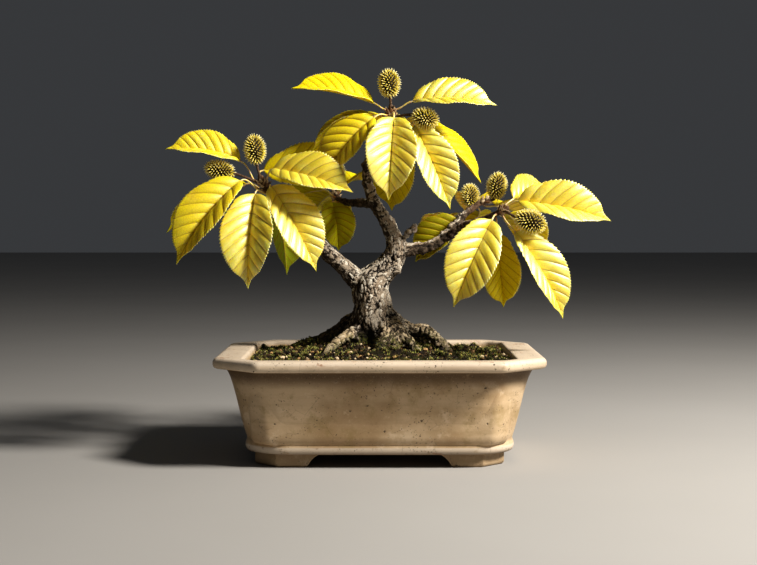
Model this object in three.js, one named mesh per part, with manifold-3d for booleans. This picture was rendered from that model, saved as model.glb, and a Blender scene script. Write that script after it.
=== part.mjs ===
// A chestnut bonsai in a chamfered rectangular stoneware pot. Millimetres, +Z up, +Y away from the front.
// The wood, with its surface roots, is one piece. Every leaf, with its stalk, and every spiny bur is its own
// piece, seated at the end of a shoot. The soil fills the pot, over two mesh squares on the drainage holes.
import * as THREE from "three";
import { mergeVertices } from "three/addons/utils/BufferGeometryUtils.js";
import Module from "manifold-3d";

const wasm = await Module();
wasm.setup();

// Driving dimensions
const RIM_LENGTH = 300;
const RIM_DEPTH = 241;
const RIM_CHAMFER = 41;
const POT_HEIGHT = 98;
const FOOT_HEIGHT = 12;
const FLOOR_THICKNESS = 8;
const CORNER_ROUNDING = 7;
const OPENING_LENGTH = 244;
const OPENING_DEPTH = 203;
const OPENING_CHAMFER = 14;
const WALL_TAPER = 9;
const DRAIN_RADIUS = 8;
const DRAIN_OFFSET = 62;
const SOIL_EDGE_HEIGHT = 91.5;
const SOIL_MOUND = 14;
const TRUNK_SET_BACK = 7;
const SEAT_GAP = 0.3;
const LEAF_THICKNESS = 0.9;
const LEAF_VEIN_PAIRS = 6;
const STALK_RADIUS = 1.1;
const SPINE_LENGTH = 3.4;

const COLOURS = {
  pot: { color: "#b89a74", roughness: 0.75 },
  soil: { color: "#3a3020", roughness: 1 },
  mesh: { color: "#20211f", roughness: 0.6 },
  wood: { color: "#7d6f5e", roughness: 0.9 },
  leaf: { color: "#d8b81c", roughness: 0.5 },
  bur: { color: "#9a9420", roughness: 0.7 },
};

// Helpers

const v3 = (p) => new THREE.Vector3(...p);

// A repeatable stream of numbers from 0 to 1.
function randomFrom(seed) {
  let state = seed;
  return () => {
    state = (state * 1664525 + 1013904223) % 4294967296;
    return state / 4294967296;
  };
}

function geometryFrom(positions, triangles) {
  const geometry = new THREE.BufferGeometry();
  geometry.setAttribute("position", new THREE.Float32BufferAttribute(positions.flat(), 3));
  geometry.setIndex(triangles.flat());
  return geometry;
}

// A closed three.js geometry as a solid.
function solidOf(geometry) {
  const bare = geometry.clone();
  bare.deleteAttribute("normal");
  bare.deleteAttribute("uv");
  const merged = mergeVertices(bare, 1e-4);
  return new wasm.Manifold(
    new wasm.Mesh({
      numProp: 3,
      vertProperties: new Float32Array(merged.attributes.position.array),
      triVerts: new Uint32Array(merged.index.array),
    }),
  );
}

// A solid back as a three.js geometry, flat shaded.
function geometryOf(solid) {
  const mesh = solid.getMesh();
  const geometry = new THREE.BufferGeometry();
  geometry.setAttribute("position", new THREE.Float32BufferAttribute(mesh.vertProperties, 3));
  geometry.setIndex(new THREE.BufferAttribute(new Uint32Array(mesh.triVerts), 1));
  const flat = geometry.toNonIndexed();
  flat.computeVertexNormals();
  return flat;
}

const union = (solids) => solids.reduce((whole, solid) => whole.add(solid));

function meshOf(name, solid, look) {
  const material = new THREE.MeshStandardMaterial({ metalness: 0, ...COLOURS[look] });
  const mesh = new THREE.Mesh(geometryOf(solid), material);
  mesh.name = name;
  return mesh;
}

// A closed skin through rings of equal point counts, with a flat cap or a centre point at each end.
function ringSkin(rings, lastCentre = null) {
  const count = rings[0].length;
  const positions = rings.flat();
  const triangles = [];
  for (let r = 0; r + 1 < rings.length; r++)
    for (let i = 0; i < count; i++) {
      const j = (i + 1) % count;
      const [a, b, c, d] = [r * count + i, r * count + j, (r + 1) * count + j, (r + 1) * count + i];
      triangles.push([a, b, c], [a, c, d]);
    }
  const flatCap = (ring) =>
    THREE.ShapeUtils.triangulateShape(
      ring.map((p) => new THREE.Vector2(p[0], p[1])),
      [],
    );
  flatCap(rings[0]).forEach(([a, b, c]) => triangles.push([a, c, b]));
  const last = (rings.length - 1) * count;
  if (lastCentre) {
    positions.push(lastCentre);
    for (let i = 0; i < count; i++)
      triangles.push([last + i, last + ((i + 1) % count), positions.length - 1]);
  } else flatCap(rings.at(-1)).forEach(([a, b, c]) => triangles.push([last + a, last + b, last + c]));
  return solidOf(geometryFrom(positions, triangles));
}

// Pot

// A rectangle with chamfered and slightly rounded corners, anticlockwise from above.
function chamferedRing(halfLength, halfDepth, chamfer, z) {
  const corners = [];
  for (const [sx, sy] of [[1, -1], [1, 1], [-1, 1], [-1, -1]]) {
    const alongDepth = [sx * halfLength, sy * (halfDepth - chamfer)];
    const alongLength = [sx * (halfLength - chamfer), sy * halfDepth];
    corners.push(...(sx * sy < 0 ? [alongLength, alongDepth] : [alongDepth, alongLength]));
  }
  const rounding = Math.min(CORNER_ROUNDING, chamfer * 0.3);
  return corners.flatMap((corner, i) => {
    const here = new THREE.Vector2(...corner);
    return [corners.at(i - 1), corners[(i + 1) % corners.length]].map((other) => {
      const step = new THREE.Vector2(...other).sub(here).setLength(rounding);
      const point = here.clone().add(step);
      return [point.x, point.y, z];
    });
  });
}

// A ring of the pot's outside, at an inset from the rim's outermost line. Its chamfer shrinks as a parallel
// line does.
const outerRing = (inset, z) =>
  chamferedRing(RIM_LENGTH / 2 - inset, RIM_DEPTH / 2 - inset, RIM_CHAMFER - inset * (2 - Math.SQRT2), z);

// A ring of the pot's inside, which tapers towards the floor. A positive grow makes it larger.
function innerRing(z, grow = 0) {
  const inset = (WALL_TAPER * (POT_HEIGHT - z)) / POT_HEIGHT - grow;
  return chamferedRing(OPENING_LENGTH / 2 - inset, OPENING_DEPTH / 2 - inset, OPENING_CHAMFER, z);
}

const INNER_FLOOR = FOOT_HEIGHT + FLOOR_THICKNESS;

// Inset from the rim and height: from the underside's edge, round the bead, up the flared wall, round the lip.
const OUTER_PROFILE = [
  [33, FOOT_HEIGHT],
  [28.6, 12.6],
  [27.3, 16],
  [28.9, 21.5],
  [24.6, 40],
  [19, 64],
  [14.2, 80],
  [11.4, 87.8],
  [2.5, 88.2],
  [0, 91],
  [0, 95],
  [2.5, POT_HEIGHT],
];

// One L-shaped foot under the front right corner, drawn in to its bottom, and sunk into the underside.
function footSolid(sx, sy) {
  const outline = (inset, endInset, z) => {
    const outer = outerRing(36 + inset, z)[0][1];
    const halfLength = RIM_LENGTH / 2 - 37 - inset;
    const chamfer = 20;
    const arm = 15 - inset;
    return [
      [54 + endInset, outer, z],
      [halfLength - chamfer, outer, z],
      [halfLength, outer + chamfer, z],
      [halfLength, -47 - endInset, z],
      [halfLength - arm, -47 - endInset, z],
      [halfLength - arm, outer + arm, z],
      [54 + endInset, outer + arm, z],
    ];
  };
  const mirrored = (ring) => {
    const points = ring.map(([x, y, z]) => [sx * x, -sy * y, z]);
    return sx * sy < 0 ? points : points.reverse();
  };
  return ringSkin([
    mirrored(outline(1.5, 10, 0)),
    mirrored(outline(0, 7, 2.5)),
    mirrored(outline(0, 0, FOOT_HEIGHT)),
    mirrored(outline(0, 0, FOOT_HEIGHT + 2)),
  ]);
}

function drainHole(x) {
  const drill = new THREE.CylinderGeometry(DRAIN_RADIUS, DRAIN_RADIUS, 3 * FLOOR_THICKNESS, 14);
  drill.rotateX(Math.PI / 2);
  drill.translate(x, 0, INNER_FLOOR - FLOOR_THICKNESS / 2);
  return solidOf(drill);
}

function potSolid() {
  const rings = OUTER_PROFILE.map(([inset, z]) => outerRing(inset, z));
  rings.push(innerRing(POT_HEIGHT, 1.5), innerRing(POT_HEIGHT - 1.8));
  rings.push(innerRing(INNER_FLOOR + 5), innerRing(INNER_FLOOR, -4));
  const bowl = ringSkin(rings);
  const feet = [[1, -1], [-1, -1], [1, 1], [-1, 1]].map(([sx, sy]) => footSolid(sx, sy));
  return union([bowl, ...feet])
    .subtract(drainHole(DRAIN_OFFSET))
    .subtract(drainHole(-DRAIN_OFFSET));
}

// Square of drainage mesh with a grid of openings

const MESH_SIDE = 28;
const MESH_THICKNESS = 1.2;

function drainMeshSolid() {
  const plate = new THREE.BoxGeometry(MESH_SIDE, MESH_SIDE, MESH_THICKNESS);
  const opening = new THREE.BoxGeometry(9, 9, 2 * MESH_THICKNESS);
  let mesh = solidOf(plate);
  for (const x of [-6.2, 6.2])
    for (const y of [-6.2, 6.2]) mesh = mesh.subtract(solidOf(opening.clone().translate(x, y, 0)));
  return mesh;
}

// Wood: limbs as centre points, each with its radius. A limb may start inside another.
const LIMBS = {
  trunk: [[-2, 9, 60, 24], [-2, 9, 82, 36], [-2, 8, 95, 35.5], [-3, 8, 105, 31.5], [-4, 7, 114, 27.5],
    [-5, 7, 123, 24], [-6, 7, 132, 21], [-6, 7, 141, 18.6], [-8, 7, 152, 18.6], [-6, 7, 161, 17.5],
    [-1, 7, 168, 14.3], [8, 7, 177, 11.6], [14, 7, 187, 11], [16, 7, 195, 10.5], [15, 7, 203, 9]],
  left: [[-9, 7, 152, 12], [-16, 7, 160, 11], [-24, 6, 167, 9.6], [-32, 5, 174.5, 8.4], [-40, 4, 182, 8.2],
    [-49, 2, 190, 7.4], [-61, -2, 202, 6.5], [-77, -7, 218, 5.4], [-94, -13, 236, 4.2],
    [-106, -17, 250, 3.2], [-112, -19, 262, 2.6]],
  leader: [[15, 7, 190, 10], [13, 7, 206, 7.5], [5, 7, 222, 6.6], [-5, 7, 238, 5.9], [-11, 8, 256, 5.2],
    [-11, 7, 276, 4.6], [-1, 3, 297, 3.8], [9, -2, 313, 3.2], [11, -4, 328, 2.8]],
  right: [[8, 7, 182, 9], [20, 7, 191, 7.5], [34, 9, 194, 5.8], [47, 12, 196, 5.5], [60, 17, 203, 5],
    [73, 26, 216, 4.4], [82, 35, 226, 3.8], [94, 42, 235, 3], [107, 49, 241, 2.5]],
  outer_right: [[58, 16, 201, 4], [70, 13, 209, 3.8], [82, 8, 217, 3.3], [97, 1, 222, 2.9],
    [110, -5, 227, 2.6], [121, -9, 233, 2.4]],
  back: [[-4, 7, 235, 4.6], [-12, 21, 237, 4.3], [-22, 35, 237.5, 3.9], [-33, 53, 238.5, 3.4],
    [-41, 69, 242, 2.9], [-45, 81, 247, 2.5]],
};

const STUBS = {
  pruned_stub: [[14, 7, 193, 5], [22, 3, 201, 4], [27, 0, 208, 3.2], [33, -3, 214, 3.9],
    [35, -4, 216, 2.6]],
  trunk_knob: [[4, 5, 172, 8], [13, 2, 174, 6.5], [19, 0, 175, 4.2]],
};

const ROOTS = {
  root_left: [[-12, 10, 130, 11], [-28, 14, 119, 11], [-44, 19, 109, 8.6], [-61, 26, 102.5, 6.8],
    [-78, 34, 98, 5.4], [-94, 41, 91, 4], [-104, 45, 84, 3]],
  root_front_left: [[-12, -1, 122, 9], [-22, -10, 115.5, 6.8], [-33, -21, 111, 5.2], [-41, -28, 106, 4.7],
    [-48, -34, 99, 4.2], [-53, -40, 89, 3.2]],
  root_front: [[2, -5, 124, 10], [6, -17, 116, 8], [5, -26, 110, 6.6], [1, -35, 103, 5.6],
    [-2, -44, 92, 4]],
  root_front_right: [[8, -1, 124, 9], [15, -11, 119, 7.5], [21, -20, 113.5, 6], [28, -27, 107, 5],
    [34, -33, 100, 4.2], [39, -39, 90, 3.2]],
  root_right: [[8, 6, 128, 11], [20, 4, 120, 9], [31, 2, 116.5, 6.8], [42, 0, 116.5, 6.6],
    [50, -2, 111.5, 6.2], [58, -4, 104, 5.8], [66, -6, 95, 4.6], [72, -8, 87, 3.4]],
  root_back_right: [[5, 15, 124, 9], [17, 27, 114, 8], [30, 41, 106, 6.4], [43, 55, 99, 5],
    [53, 67, 88, 3.2]],
  root_back_left: [[-12, 16, 124, 9], [-20, 29, 114, 8], [-29, 45, 106, 6.4], [-37, 61, 99, 4.8],
    [-44, 73, 88, 3]],
};

// Buds: the limb, how far back from its end, the way the bud points, and its length from the limb's middle.
const BUDS = {
  bud_left: ["left", 12, [0.7, 0, 0.7], 9],
  bud_left_low: ["left", 24, [-0.4, -0.8, -0.4], 9],
  bud_top: ["leader", 5, [0.5, -0.8, 0.7], 9],
  bud_outer_right: ["outer_right", 8, [-0.2, -0.5, 0.8], 9],
  bud_back: ["back", 2, [-0.6, 0.5, 0.5], 8],
};

// Burs: the limb that carries it and how far back from that limb's end, the centre, the way its tip points,
// and its size without spines as radius and half length.
const BURS = {
  bur_left_upright: { limb: "left", back: 0, at: [-116, -19, 286.5], axis: [-0.12, 0, 1], core: [8.4, 12.8] },
  bur_left_side: { limb: "left", back: 6, at: [-148, -27, 267], axis: [-0.93, -0.2, 0.2], core: [7.6, 13] },
  bur_top_upright: { limb: "leader", back: 0, at: [9, -5, 349], axis: [-0.08, 0, 1], core: [8.6, 12.4] },
  bur_top_side: { limb: "leader", back: 8, at: [42, -22, 315.5], axis: [0.86, -0.4, -0.24], core: [8, 12.2] },
  bur_right_side: { limb: "outer_right", back: 2, at: [139, -35, 219.5], axis: [0.86, -0.36, -0.3], core: [9.4, 14] },
  bur_mid_low: { limb: "right", back: 22, at: [89, 54, 244.5], axis: [-0.12, 0.25, 1], core: [7.8, 11] },
  bur_mid_high: { limb: "right", back: 0, at: [115, 53, 254], axis: [0.2, 0, 1], core: [8.4, 12.6] },
  bur_back: { limb: "back", back: 0, at: [-44, 87, 269], axis: [0, 0.12, 1], core: [7.8, 11.2] },
};

// Leaves: the limb, how far back from its end the stalk sits, the blade's base and tip, its roll about the line
// between them, half its width, how far each half folds up, and how high the rib arches.
const LEAVES = {
  leaf_left_1: ["left", 7, [-130, -15, 276], [-199, -21, 287], -33, 25, 25, 4],
  leaf_left_2: ["left", 15, [-128, -35, 257], [-184, -61, 181], -36, 27.5, 27, 7.5],
  leaf_left_3: ["left", 18, [-114, -43, 245], [-119, -64, 159], -3, 28, 28, 7.5],
  leaf_left_4: ["left", 21, [-100, -35, 252], [-58, -45, 174], 48, 26, 26, 6],
  leaf_left_5: ["left", 6, [-99, -25, 268], [-24, -59, 246], 40, 25.5, 24, 4.5],
  leaf_left_6: ["left", 5, [-110, 5, 268], [-32, 57, 280], 84, 22, 18, 6],
  leaf_left_7: ["left", 20, [-104, 11, 250], [-90, 33, 168], 0, 24, 24, 6],
  leaf_left_8: ["left", 14, [-126, -1, 255], [-203, 11, 209], 0, 24, 28, 6],
  leaf_top_1: ["leader", 4, [-6, -5, 331], [-82, -21, 343], -28, 25, 22, 4],
  leaf_top_2: ["leader", 3, [31, -7, 332], [110, -11, 328], 37, 25, 25, 4],
  leaf_top_3: ["leader", 9, [-5, -23, 316], [-52, -29, 257], -38, 26.5, 16, 5.5],
  leaf_top_4: ["leader", 11, [-7, 6, 319], [-65, 12, 286], -13, 25, 25, 5],
  leaf_top_5: ["leader", 8, [13, -35, 315], [8, -55, 239], -13, 27, 29, 7.5],
  leaf_top_6: ["leader", 18, [32.6, -14, 308.5], [66, -17, 231], 65, 23.1, 31, 4.8],
  leaf_top_7: ["leader", 15, [42, 11, 314], [97, 12, 256], 21, 25, 18, 2],
  leaf_top_8: ["leader", 21, [24, 21, 312], [12, 47, 230], -132, 26, 20, 8],
  leaf_top_9: ["leader", 5, [4, 21, 319], [-6, 98, 290], 0, 24, 28, 5],
  leaf_top_10: ["leader", 7, [24, 20, 317], [60, 95, 268], 0, 25, 28, 6],
  leaf_right_1: ["outer_right", 3, [130, -9, 239], [217, -13, 220], 57, 25.5, 32, 5.5],
  leaf_right_2: ["outer_right", 8, [127, 5, 241], [169, 78, 251], 28, 21, 28, 3],
  leaf_right_3: ["outer_right", 13, [104, -27, 221], [68, -39, 141], -61, 27, 26, 6],
  leaf_right_4: ["outer_right", 16, [111, 10, 209], [120, 29, 137], 153, 22, 32, 4.5],
  leaf_right_5: ["outer_right", 8, [126, -23, 210], [171, -23, 129], 58, 24.2, 32, 6.4],
  leaf_right_6: ["outer_right", 10, [123, 13, 227], [156, 73, 179], 0, 24, 26, 6],
  leaf_mid_1: ["right", 40, [76, 45, 222], [35, 47, 180], -60, 22, 30, 3],
  leaf_mid_2: ["right", 26, [71, 59, 224], [49, 128, 196], 0, 18.5, 28, 5],
  leaf_mid_3: ["right", 12, [99, 63, 229], [93, 119, 178], 0, 23, 26, 6],
  leaf_mid_4: ["right", 6, [115, 63, 235], [160, 123, 210], 0, 24, 28, 6],
  leaf_mid_5: ["right", 5, [101, 70, 240], [91, 143, 226], 0, 21, 28, 5],
  leaf_back_1: ["back", 22, [-46.6, 66, 238], [-40.3, 60, 190.5], 35, 21, 36, 7],
  leaf_back_2: ["back", 12, [-57, 81, 251], [-110, 99, 226], 0, 22, 26, 6],
  leaf_back_3: ["back", 3, [-36, 87, 255], [-11, 143, 260], 0, 21, 28, 5],
  leaf_back_4: ["back", 8, [-48, 97, 247], [-74, 150, 218], 0, 22, 26, 6],
  leaf_back_5: ["back", 15, [-42, 100, 240], [-46, 141, 203], 0, 17, 24, 6],
};

// Centre line of a limb, as a curve with its radius as a function of the distance along it.
function limbCurve(rows) {
  const points = rows.map(([x, y, z]) => new THREE.Vector3(x, y, z));
  const curve = new THREE.CatmullRomCurve3(points, false, "catmullrom", 0.5);
  const radiusAt = (t) => {
    const place = Math.min(t * (rows.length - 1), rows.length - 1.000001);
    const i = Math.floor(place);
    return THREE.MathUtils.lerp(rows[i][3], rows[i + 1][3], place - i);
  };
  return { curve, radiusAt, length: curve.getLength() };
}

// A closed tube along points, with a radius for each and a gnarl that waves its sides by a share of that
// radius. A first way, if given, squares its start to that direction.
function taperedTube(points, radii, sides, gnarl = 0, firstWay = null) {
  const tangentAt = (i) => {
    if (i === 0 && firstWay) return firstWay;
    return points[Math.min(i + 1, points.length - 1)].clone().sub(points[Math.max(i - 1, 0)]).normalize();
  };
  let side = new THREE.Vector3(1, 0.1, 0.05).cross(tangentAt(0)).normalize();
  const positions = [];
  points.forEach((point, i) => {
    const tangent = tangentAt(i);
    side = side.sub(tangent.clone().multiplyScalar(side.dot(tangent))).normalize();
    const across = tangent.clone().cross(side);
    for (let k = 0; k < sides; k++) {
      const angle = (2 * Math.PI * k) / sides;
      const wave = Math.sin(3 * angle + 1.3 * i) * 0.6 + Math.sin(2 * angle - 2.1 * i + 1) * 0.4;
      const radius = radii[i] * (1 + gnarl * wave * Math.min(1, radii[i] / 8) ** 2);
      const out = side.clone().multiplyScalar(Math.cos(angle)).addScaledVector(across, Math.sin(angle));
      positions.push(point.clone().addScaledVector(out, radius).toArray());
    }
  });
  positions.push(points[0].toArray(), points.at(-1).toArray());
  const triangles = [];
  const last = (points.length - 1) * sides;
  for (let k = 0; k < sides; k++) {
    const n = (k + 1) % sides;
    for (let r = 0; r < last; r += sides) {
      const above = r + sides;
      triangles.push([r + k, r + n, above + n], [r + k, above + n, above + k]);
    }
    triangles.push([n, k, last + sides], [last + k, last + n, last + sides + 1]);
  }
  return solidOf(geometryFrom(positions, triangles));
}

// A limb as a tube. A positive grow makes it thicker, to cut the hole it stands in.
function limbSolid(rows, sides, rings, gnarl, grow = 0) {
  const { curve, radiusAt } = limbCurve(rows);
  const points = [];
  const radii = [];
  for (let i = 0; i <= rings; i++) {
    const t = i / rings;
    points.push(curve.getPoint(t));
    radii.push(radiusAt(t) + grow);
  }
  return taperedTube(points, radii, sides, gnarl);
}

// The place on a limb at a distance back from its end: centre, direction and radius.
function seatOn(limb, back) {
  const { curve, radiusAt, length } = limbCurve(LIMBS[limb]);
  const u = 1 - back / length;
  const radius = radiusAt(curve.getUtoTmapping(u));
  return { centre: curve.getPointAt(u), along: curve.getTangentAt(u), radius };
}

// Bur placement and shape

// The stem that carries a bur, from inside its limb to just short of the bur's end.
function burStemPoints({ limb, back, at, axis, core }) {
  const { centre } = seatOn(limb, back + 3);
  const direction = v3(axis).normalize();
  const end = v3(at).addScaledVector(direction, -core[1] - SEAT_GAP);
  const reach = centre.distanceTo(end) / 3;
  const way = new THREE.CubicBezierCurve3(
    centre,
    centre.clone().lerp(end, 0.3),
    end.clone().addScaledVector(direction, -reach),
    end,
  );
  return way.getPoints(4);
}

// A bur: an ellipsoid of 80 faces, each with a three-sided spine standing on its middle.
function burSolid({ at, axis, core }, seed) {
  const random = randomFrom(seed);
  const ball = new THREE.IcosahedronGeometry(1, 1).attributes.position;
  const turn = new THREE.Quaternion().setFromUnitVectors(new THREE.Vector3(0, 0, 1), v3(axis).normalize());
  const place = (unit, outward = 0) =>
    new THREE.Vector3(unit.x * (core[0] + outward), unit.y * (core[0] + outward), unit.z * (core[1] + outward))
      .applyQuaternion(turn)
      .add(v3(at))
      .toArray();
  const positions = [];
  const triangles = [];
  for (let i = 0; i < ball.count; i += 3) {
    const face = [0, 1, 2].map((k) => new THREE.Vector3().fromBufferAttribute(ball, i + k));
    const middle = face[0].clone().add(face[1]).add(face[2]).divideScalar(3);
    const lean = new THREE.Vector3(random() - 0.5, random() - 0.5, random() - 0.5).multiplyScalar(0.16);
    const tip = middle.clone().normalize().add(lean).normalize();
    const n = positions.length;
    positions.push(...face.map((p) => place(p)));
    positions.push(...face.map((p) => place(middle.clone().lerp(p, 0.38))));
    positions.push(place(tip, SPINE_LENGTH * (0.85 + 0.3 * random())));
    for (let k = 0; k < 3; k++) {
      const m = (k + 1) % 3;
      triangles.push([n + k, n + m, n + 3 + m], [n + k, n + 3 + m, n + 3 + k], [n + 3 + k, n + 3 + m, n + 6]);
    }
  }
  return solidOf(geometryFrom(positions, triangles));
}

// Leaf placement and shape

// Half width along the blade, as a share of the widest: rounded at the base, drawn out at the tip.
function outlineAt(t) {
  const oval = Math.sin(Math.PI * t ** 0.92) ** 0.75 * (1 - 0.55 * t ** 8);
  const fullBase = 1 + 0.4 * (1 - THREE.MathUtils.smoothstep(t, 0, 0.22));
  const drawnTip = 1 - 0.38 * THREE.MathUtils.smoothstep(t, 0.83, 0.92);
  return oval * fullBase * drawnTip;
}

// Where a side vein that leaves the rib at s meets the margin.
const marginAt = (s) => s + 0.85 * s ** 0.75 * (1 - s) ** 1.25;

// The rib's curve and, at any place on it, the leaf's up and side directions.
function leafPose([, , baseRow, tipRow, roll, , , arch]) {
  const base = v3(baseRow);
  const tip = v3(tipRow);
  const chord = tip.clone().sub(base).normalize();
  const outward = new THREE.Vector3(chord.x, chord.y, 0);
  const up = new THREE.Vector3(0, 0, 1).add(outward.setLength(0.7));
  up.addScaledVector(chord, -up.dot(chord)).normalize();
  up.applyAxisAngle(chord, THREE.MathUtils.degToRad(roll));
  const crown = base.clone().lerp(tip, 0.5).addScaledVector(up, 2 * arch);
  const rib = new THREE.QuadraticBezierCurve3(base, crown, tip);
  const frameAt = (t) => {
    const tangent = rib.getTangent(t);
    const normal = up.clone().addScaledVector(tangent, -up.dot(tangent)).normalize();
    return { point: rib.getPoint(t), tangent, normal, side: tangent.clone().cross(normal) };
  };
  return { rib, frameAt };
}

// The blade: lines from rib to margin, by turns along a side vein, which ends in a tooth, and over the swell
// between two of them.
function bladeSolid(row) {
  const [, , , , , halfWidth, foldDegrees] = row;
  const { frameAt } = leafPose(row);
  const fold = THREE.MathUtils.degToRad(foldDegrees);
  const lines = 2 * LEAF_VEIN_PAIRS + 1;
  const pleat = 0.9;
  const tooth = 0.035;
  const positions = [];
  // Each line adds a rib point and, between base and tip, a margin point on each side, as top and bottom pairs.
  const addPair = (point, normal) => {
    for (const way of [0.5, -0.5])
      positions.push(point.clone().addScaledVector(normal, way * LEAF_THICKNESS).toArray());
    return positions.length - 2;
  };
  const rows = [];
  for (let k = 0; k <= lines; k++) {
    const s = k / lines;
    const onRib = frameAt(s);
    const entry = { rib: addPair(onRib.point, onRib.normal) };
    if (k > 0 && k < lines) {
      const vein = k % 2 === 0;
      const t = marginAt(s);
      const { point, normal, side } = frameAt(t);
      const reach = halfWidth * outlineAt(t) * (vein ? 1 + tooth : 1 - tooth);
      for (const [key, way] of [["left", 1], ["right", -1]]) {
        const across = side.clone().multiplyScalar(way * Math.cos(fold));
        across.addScaledVector(normal, Math.sin(fold));
        const facing = normal.clone().multiplyScalar(Math.cos(fold));
        facing.addScaledVector(side, -way * Math.sin(fold));
        const margin = point.clone().addScaledVector(across, reach);
        margin.addScaledVector(facing, vein ? -pleat : pleat);
        entry[key] = addPair(margin, facing);
      }
    }
    rows.push(entry);
  }
  const triangles = [];
  // A triangle on the top face and its twin on the bottom face.
  const addTwins = (a, b, c) => triangles.push([a, b, c], [a + 1, c + 1, b + 1]);
  const addRim = (a, b) => triangles.push([a, a + 1, b + 1], [a, b + 1, b]);
  for (let k = 0; k < lines; k++) {
    const [here, next] = [rows[k], rows[k + 1]];
    const corner = (entry, key) => entry[key] ?? entry.rib;
    for (const key of ["left", "right"]) {
      const flip = key === "right";
      const [a, b, c, d] = [here.rib, corner(here, key), corner(next, key), next.rib];
      const turned = (p, q, r) => (flip ? addTwins(p, r, q) : addTwins(p, q, r));
      if (b !== a) turned(a, b, c);
      if (c !== d) turned(a, c, d);
      if (flip) addRim(c, b);
      else addRim(b, c);
    }
  }
  return solidOf(geometryFrom(positions, triangles));
}

// The stalk: square to the shoot at its seat, then bending into the blade's base.
function stalkSolid(row) {
  const [limb, back] = row;
  const { frameAt } = leafPose(row);
  const { centre, along, radius } = seatOn(limb, back);
  const start = frameAt(0);
  const away = start.point.clone().sub(centre);
  away.addScaledVector(along, -away.dot(along)).normalize();
  const seat = centre.clone().addScaledVector(away, radius * 1.03 + SEAT_GAP);
  const reach = seat.distanceTo(start.point) * 0.4;
  const way = new THREE.CubicBezierCurve3(
    seat,
    seat.clone().addScaledVector(away, reach),
    start.point.clone().addScaledVector(start.tangent, -reach),
    start.point,
  );
  const inBlade = frameAt(0.1);
  const points = [...way.getPoints(3), inBlade.point];
  const radii = [1.25, 0.95, 0.95, 1.1, 0.7].map((share) => share * STALK_RADIUS);
  return taperedTube(points, radii, 4, 0, away);
}

const leafSolid = (row) => bladeSolid(row).add(stalkSolid(row));

// Wood as one solid

function budSolid([limb, back, way, length]) {
  const { centre } = seatOn(limb, back);
  const direction = v3(way).normalize();
  const points = [0, 0.45, 0.75, 1].map((share) => centre.clone().addScaledVector(direction, share * length));
  return taperedTube(points, [1.6, 2.1, 1.5, 0.3], 5);
}

function woodSolid() {
  const parts = [limbSolid(LIMBS.trunk, 12, 12, 0.1)];
  for (const name of ["left", "leader", "right"]) parts.push(limbSolid(LIMBS[name], 7, 10, 0.1));
  for (const name of ["outer_right", "back"]) parts.push(limbSolid(LIMBS[name], 6, 6, 0.08));
  for (const rows of Object.values(ROOTS)) parts.push(limbSolid(rows, 6, 6, 0.12));
  for (const rows of Object.values(STUBS)) parts.push(limbSolid(rows, 6, rows.length - 1, 0.08));
  for (const bud of Object.values(BUDS)) parts.push(budSolid(bud));
  for (const bur of Object.values(BURS)) {
    const stem = burStemPoints(bur);
    parts.push(taperedTube(stem, [1.9, 1.6, 1.5, 1.5, 1.8], 4));
  }
  return union(parts);
}

// Soil: fills the inside of the pot, mounds up to the trunk, and has holes where the wood and the meshes sit

const soilHeight = (x, y) =>
  SOIL_EDGE_HEIGHT +
  SOIL_MOUND * Math.exp(-((x / 78) ** 2) - ((y - TRUNK_SET_BACK) / 72) ** 2) +
  0.8 * Math.sin(x / 9 + 1) * Math.sin(y / 8);

function soilSolid() {
  const rings = [
    innerRing(INNER_FLOOR + SEAT_GAP, -4.4),
    innerRing(INNER_FLOOR + 5, -SEAT_GAP - 0.1),
    innerRing(SOIL_EDGE_HEIGHT - 1, -SEAT_GAP - 0.1),
  ];
  const edge = rings.at(-1);
  for (const share of [0.97, 0.8, 0.62, 0.45, 0.28])
    rings.push(edge.map(([x, y]) => [x * share, y * share, soilHeight(x * share, y * share)]));
  let soil = ringSkin(rings, [0, 0, soilHeight(0, 0)]);
  soil = soil.subtract(limbSolid(LIMBS.trunk, 12, 12, 0.1, SEAT_GAP + 0.1));
  for (const rows of Object.values(ROOTS))
    soil = soil.subtract(limbSolid(rows, 6, 6, 0.12, SEAT_GAP + 0.1));
  const pocket = new THREE.BoxGeometry(MESH_SIDE + 1, MESH_SIDE + 1, 2 * (MESH_THICKNESS + 2 * SEAT_GAP));
  for (const x of [-DRAIN_OFFSET, DRAIN_OFFSET])
    soil = soil.subtract(solidOf(pocket.clone().translate(x, 0, INNER_FLOOR)));
  return soil;
}

// Assembly

const bonsai = new THREE.Group();
bonsai.add(meshOf("pot", potSolid(), "pot"));
bonsai.add(meshOf("soil", soilSolid(), "soil"));
bonsai.add(meshOf("tree", woodSolid(), "wood"));
for (const [name, x] of [["drain_mesh_left", -DRAIN_OFFSET], ["drain_mesh_right", DRAIN_OFFSET]]) {
  const mesh = meshOf(name, drainMeshSolid(), "mesh");
  mesh.position.set(x, 0, INNER_FLOOR + SEAT_GAP + MESH_THICKNESS / 2);
  bonsai.add(mesh);
}
Object.entries(LEAVES).forEach(([name, row]) => bonsai.add(meshOf(name, leafSolid(row), "leaf")));
Object.entries(BURS).forEach(([name, bur], i) => bonsai.add(meshOf(name, burSolid(bur, i + 11), "bur")));

// The frame's origin is under the middle of the whole object's outline, on the surface it stands on.
const outline = new THREE.Box3().setFromObject(bonsai);
const middle = outline.getCenter(new THREE.Vector3());
bonsai.position.set(-middle.x, -middle.y, -outline.min.z);

export default bonsai;
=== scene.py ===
from collections import namedtuple
from math import cos, pi, radians, sin, sqrt

import bpy
import numpy as np
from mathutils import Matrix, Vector, noise


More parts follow.
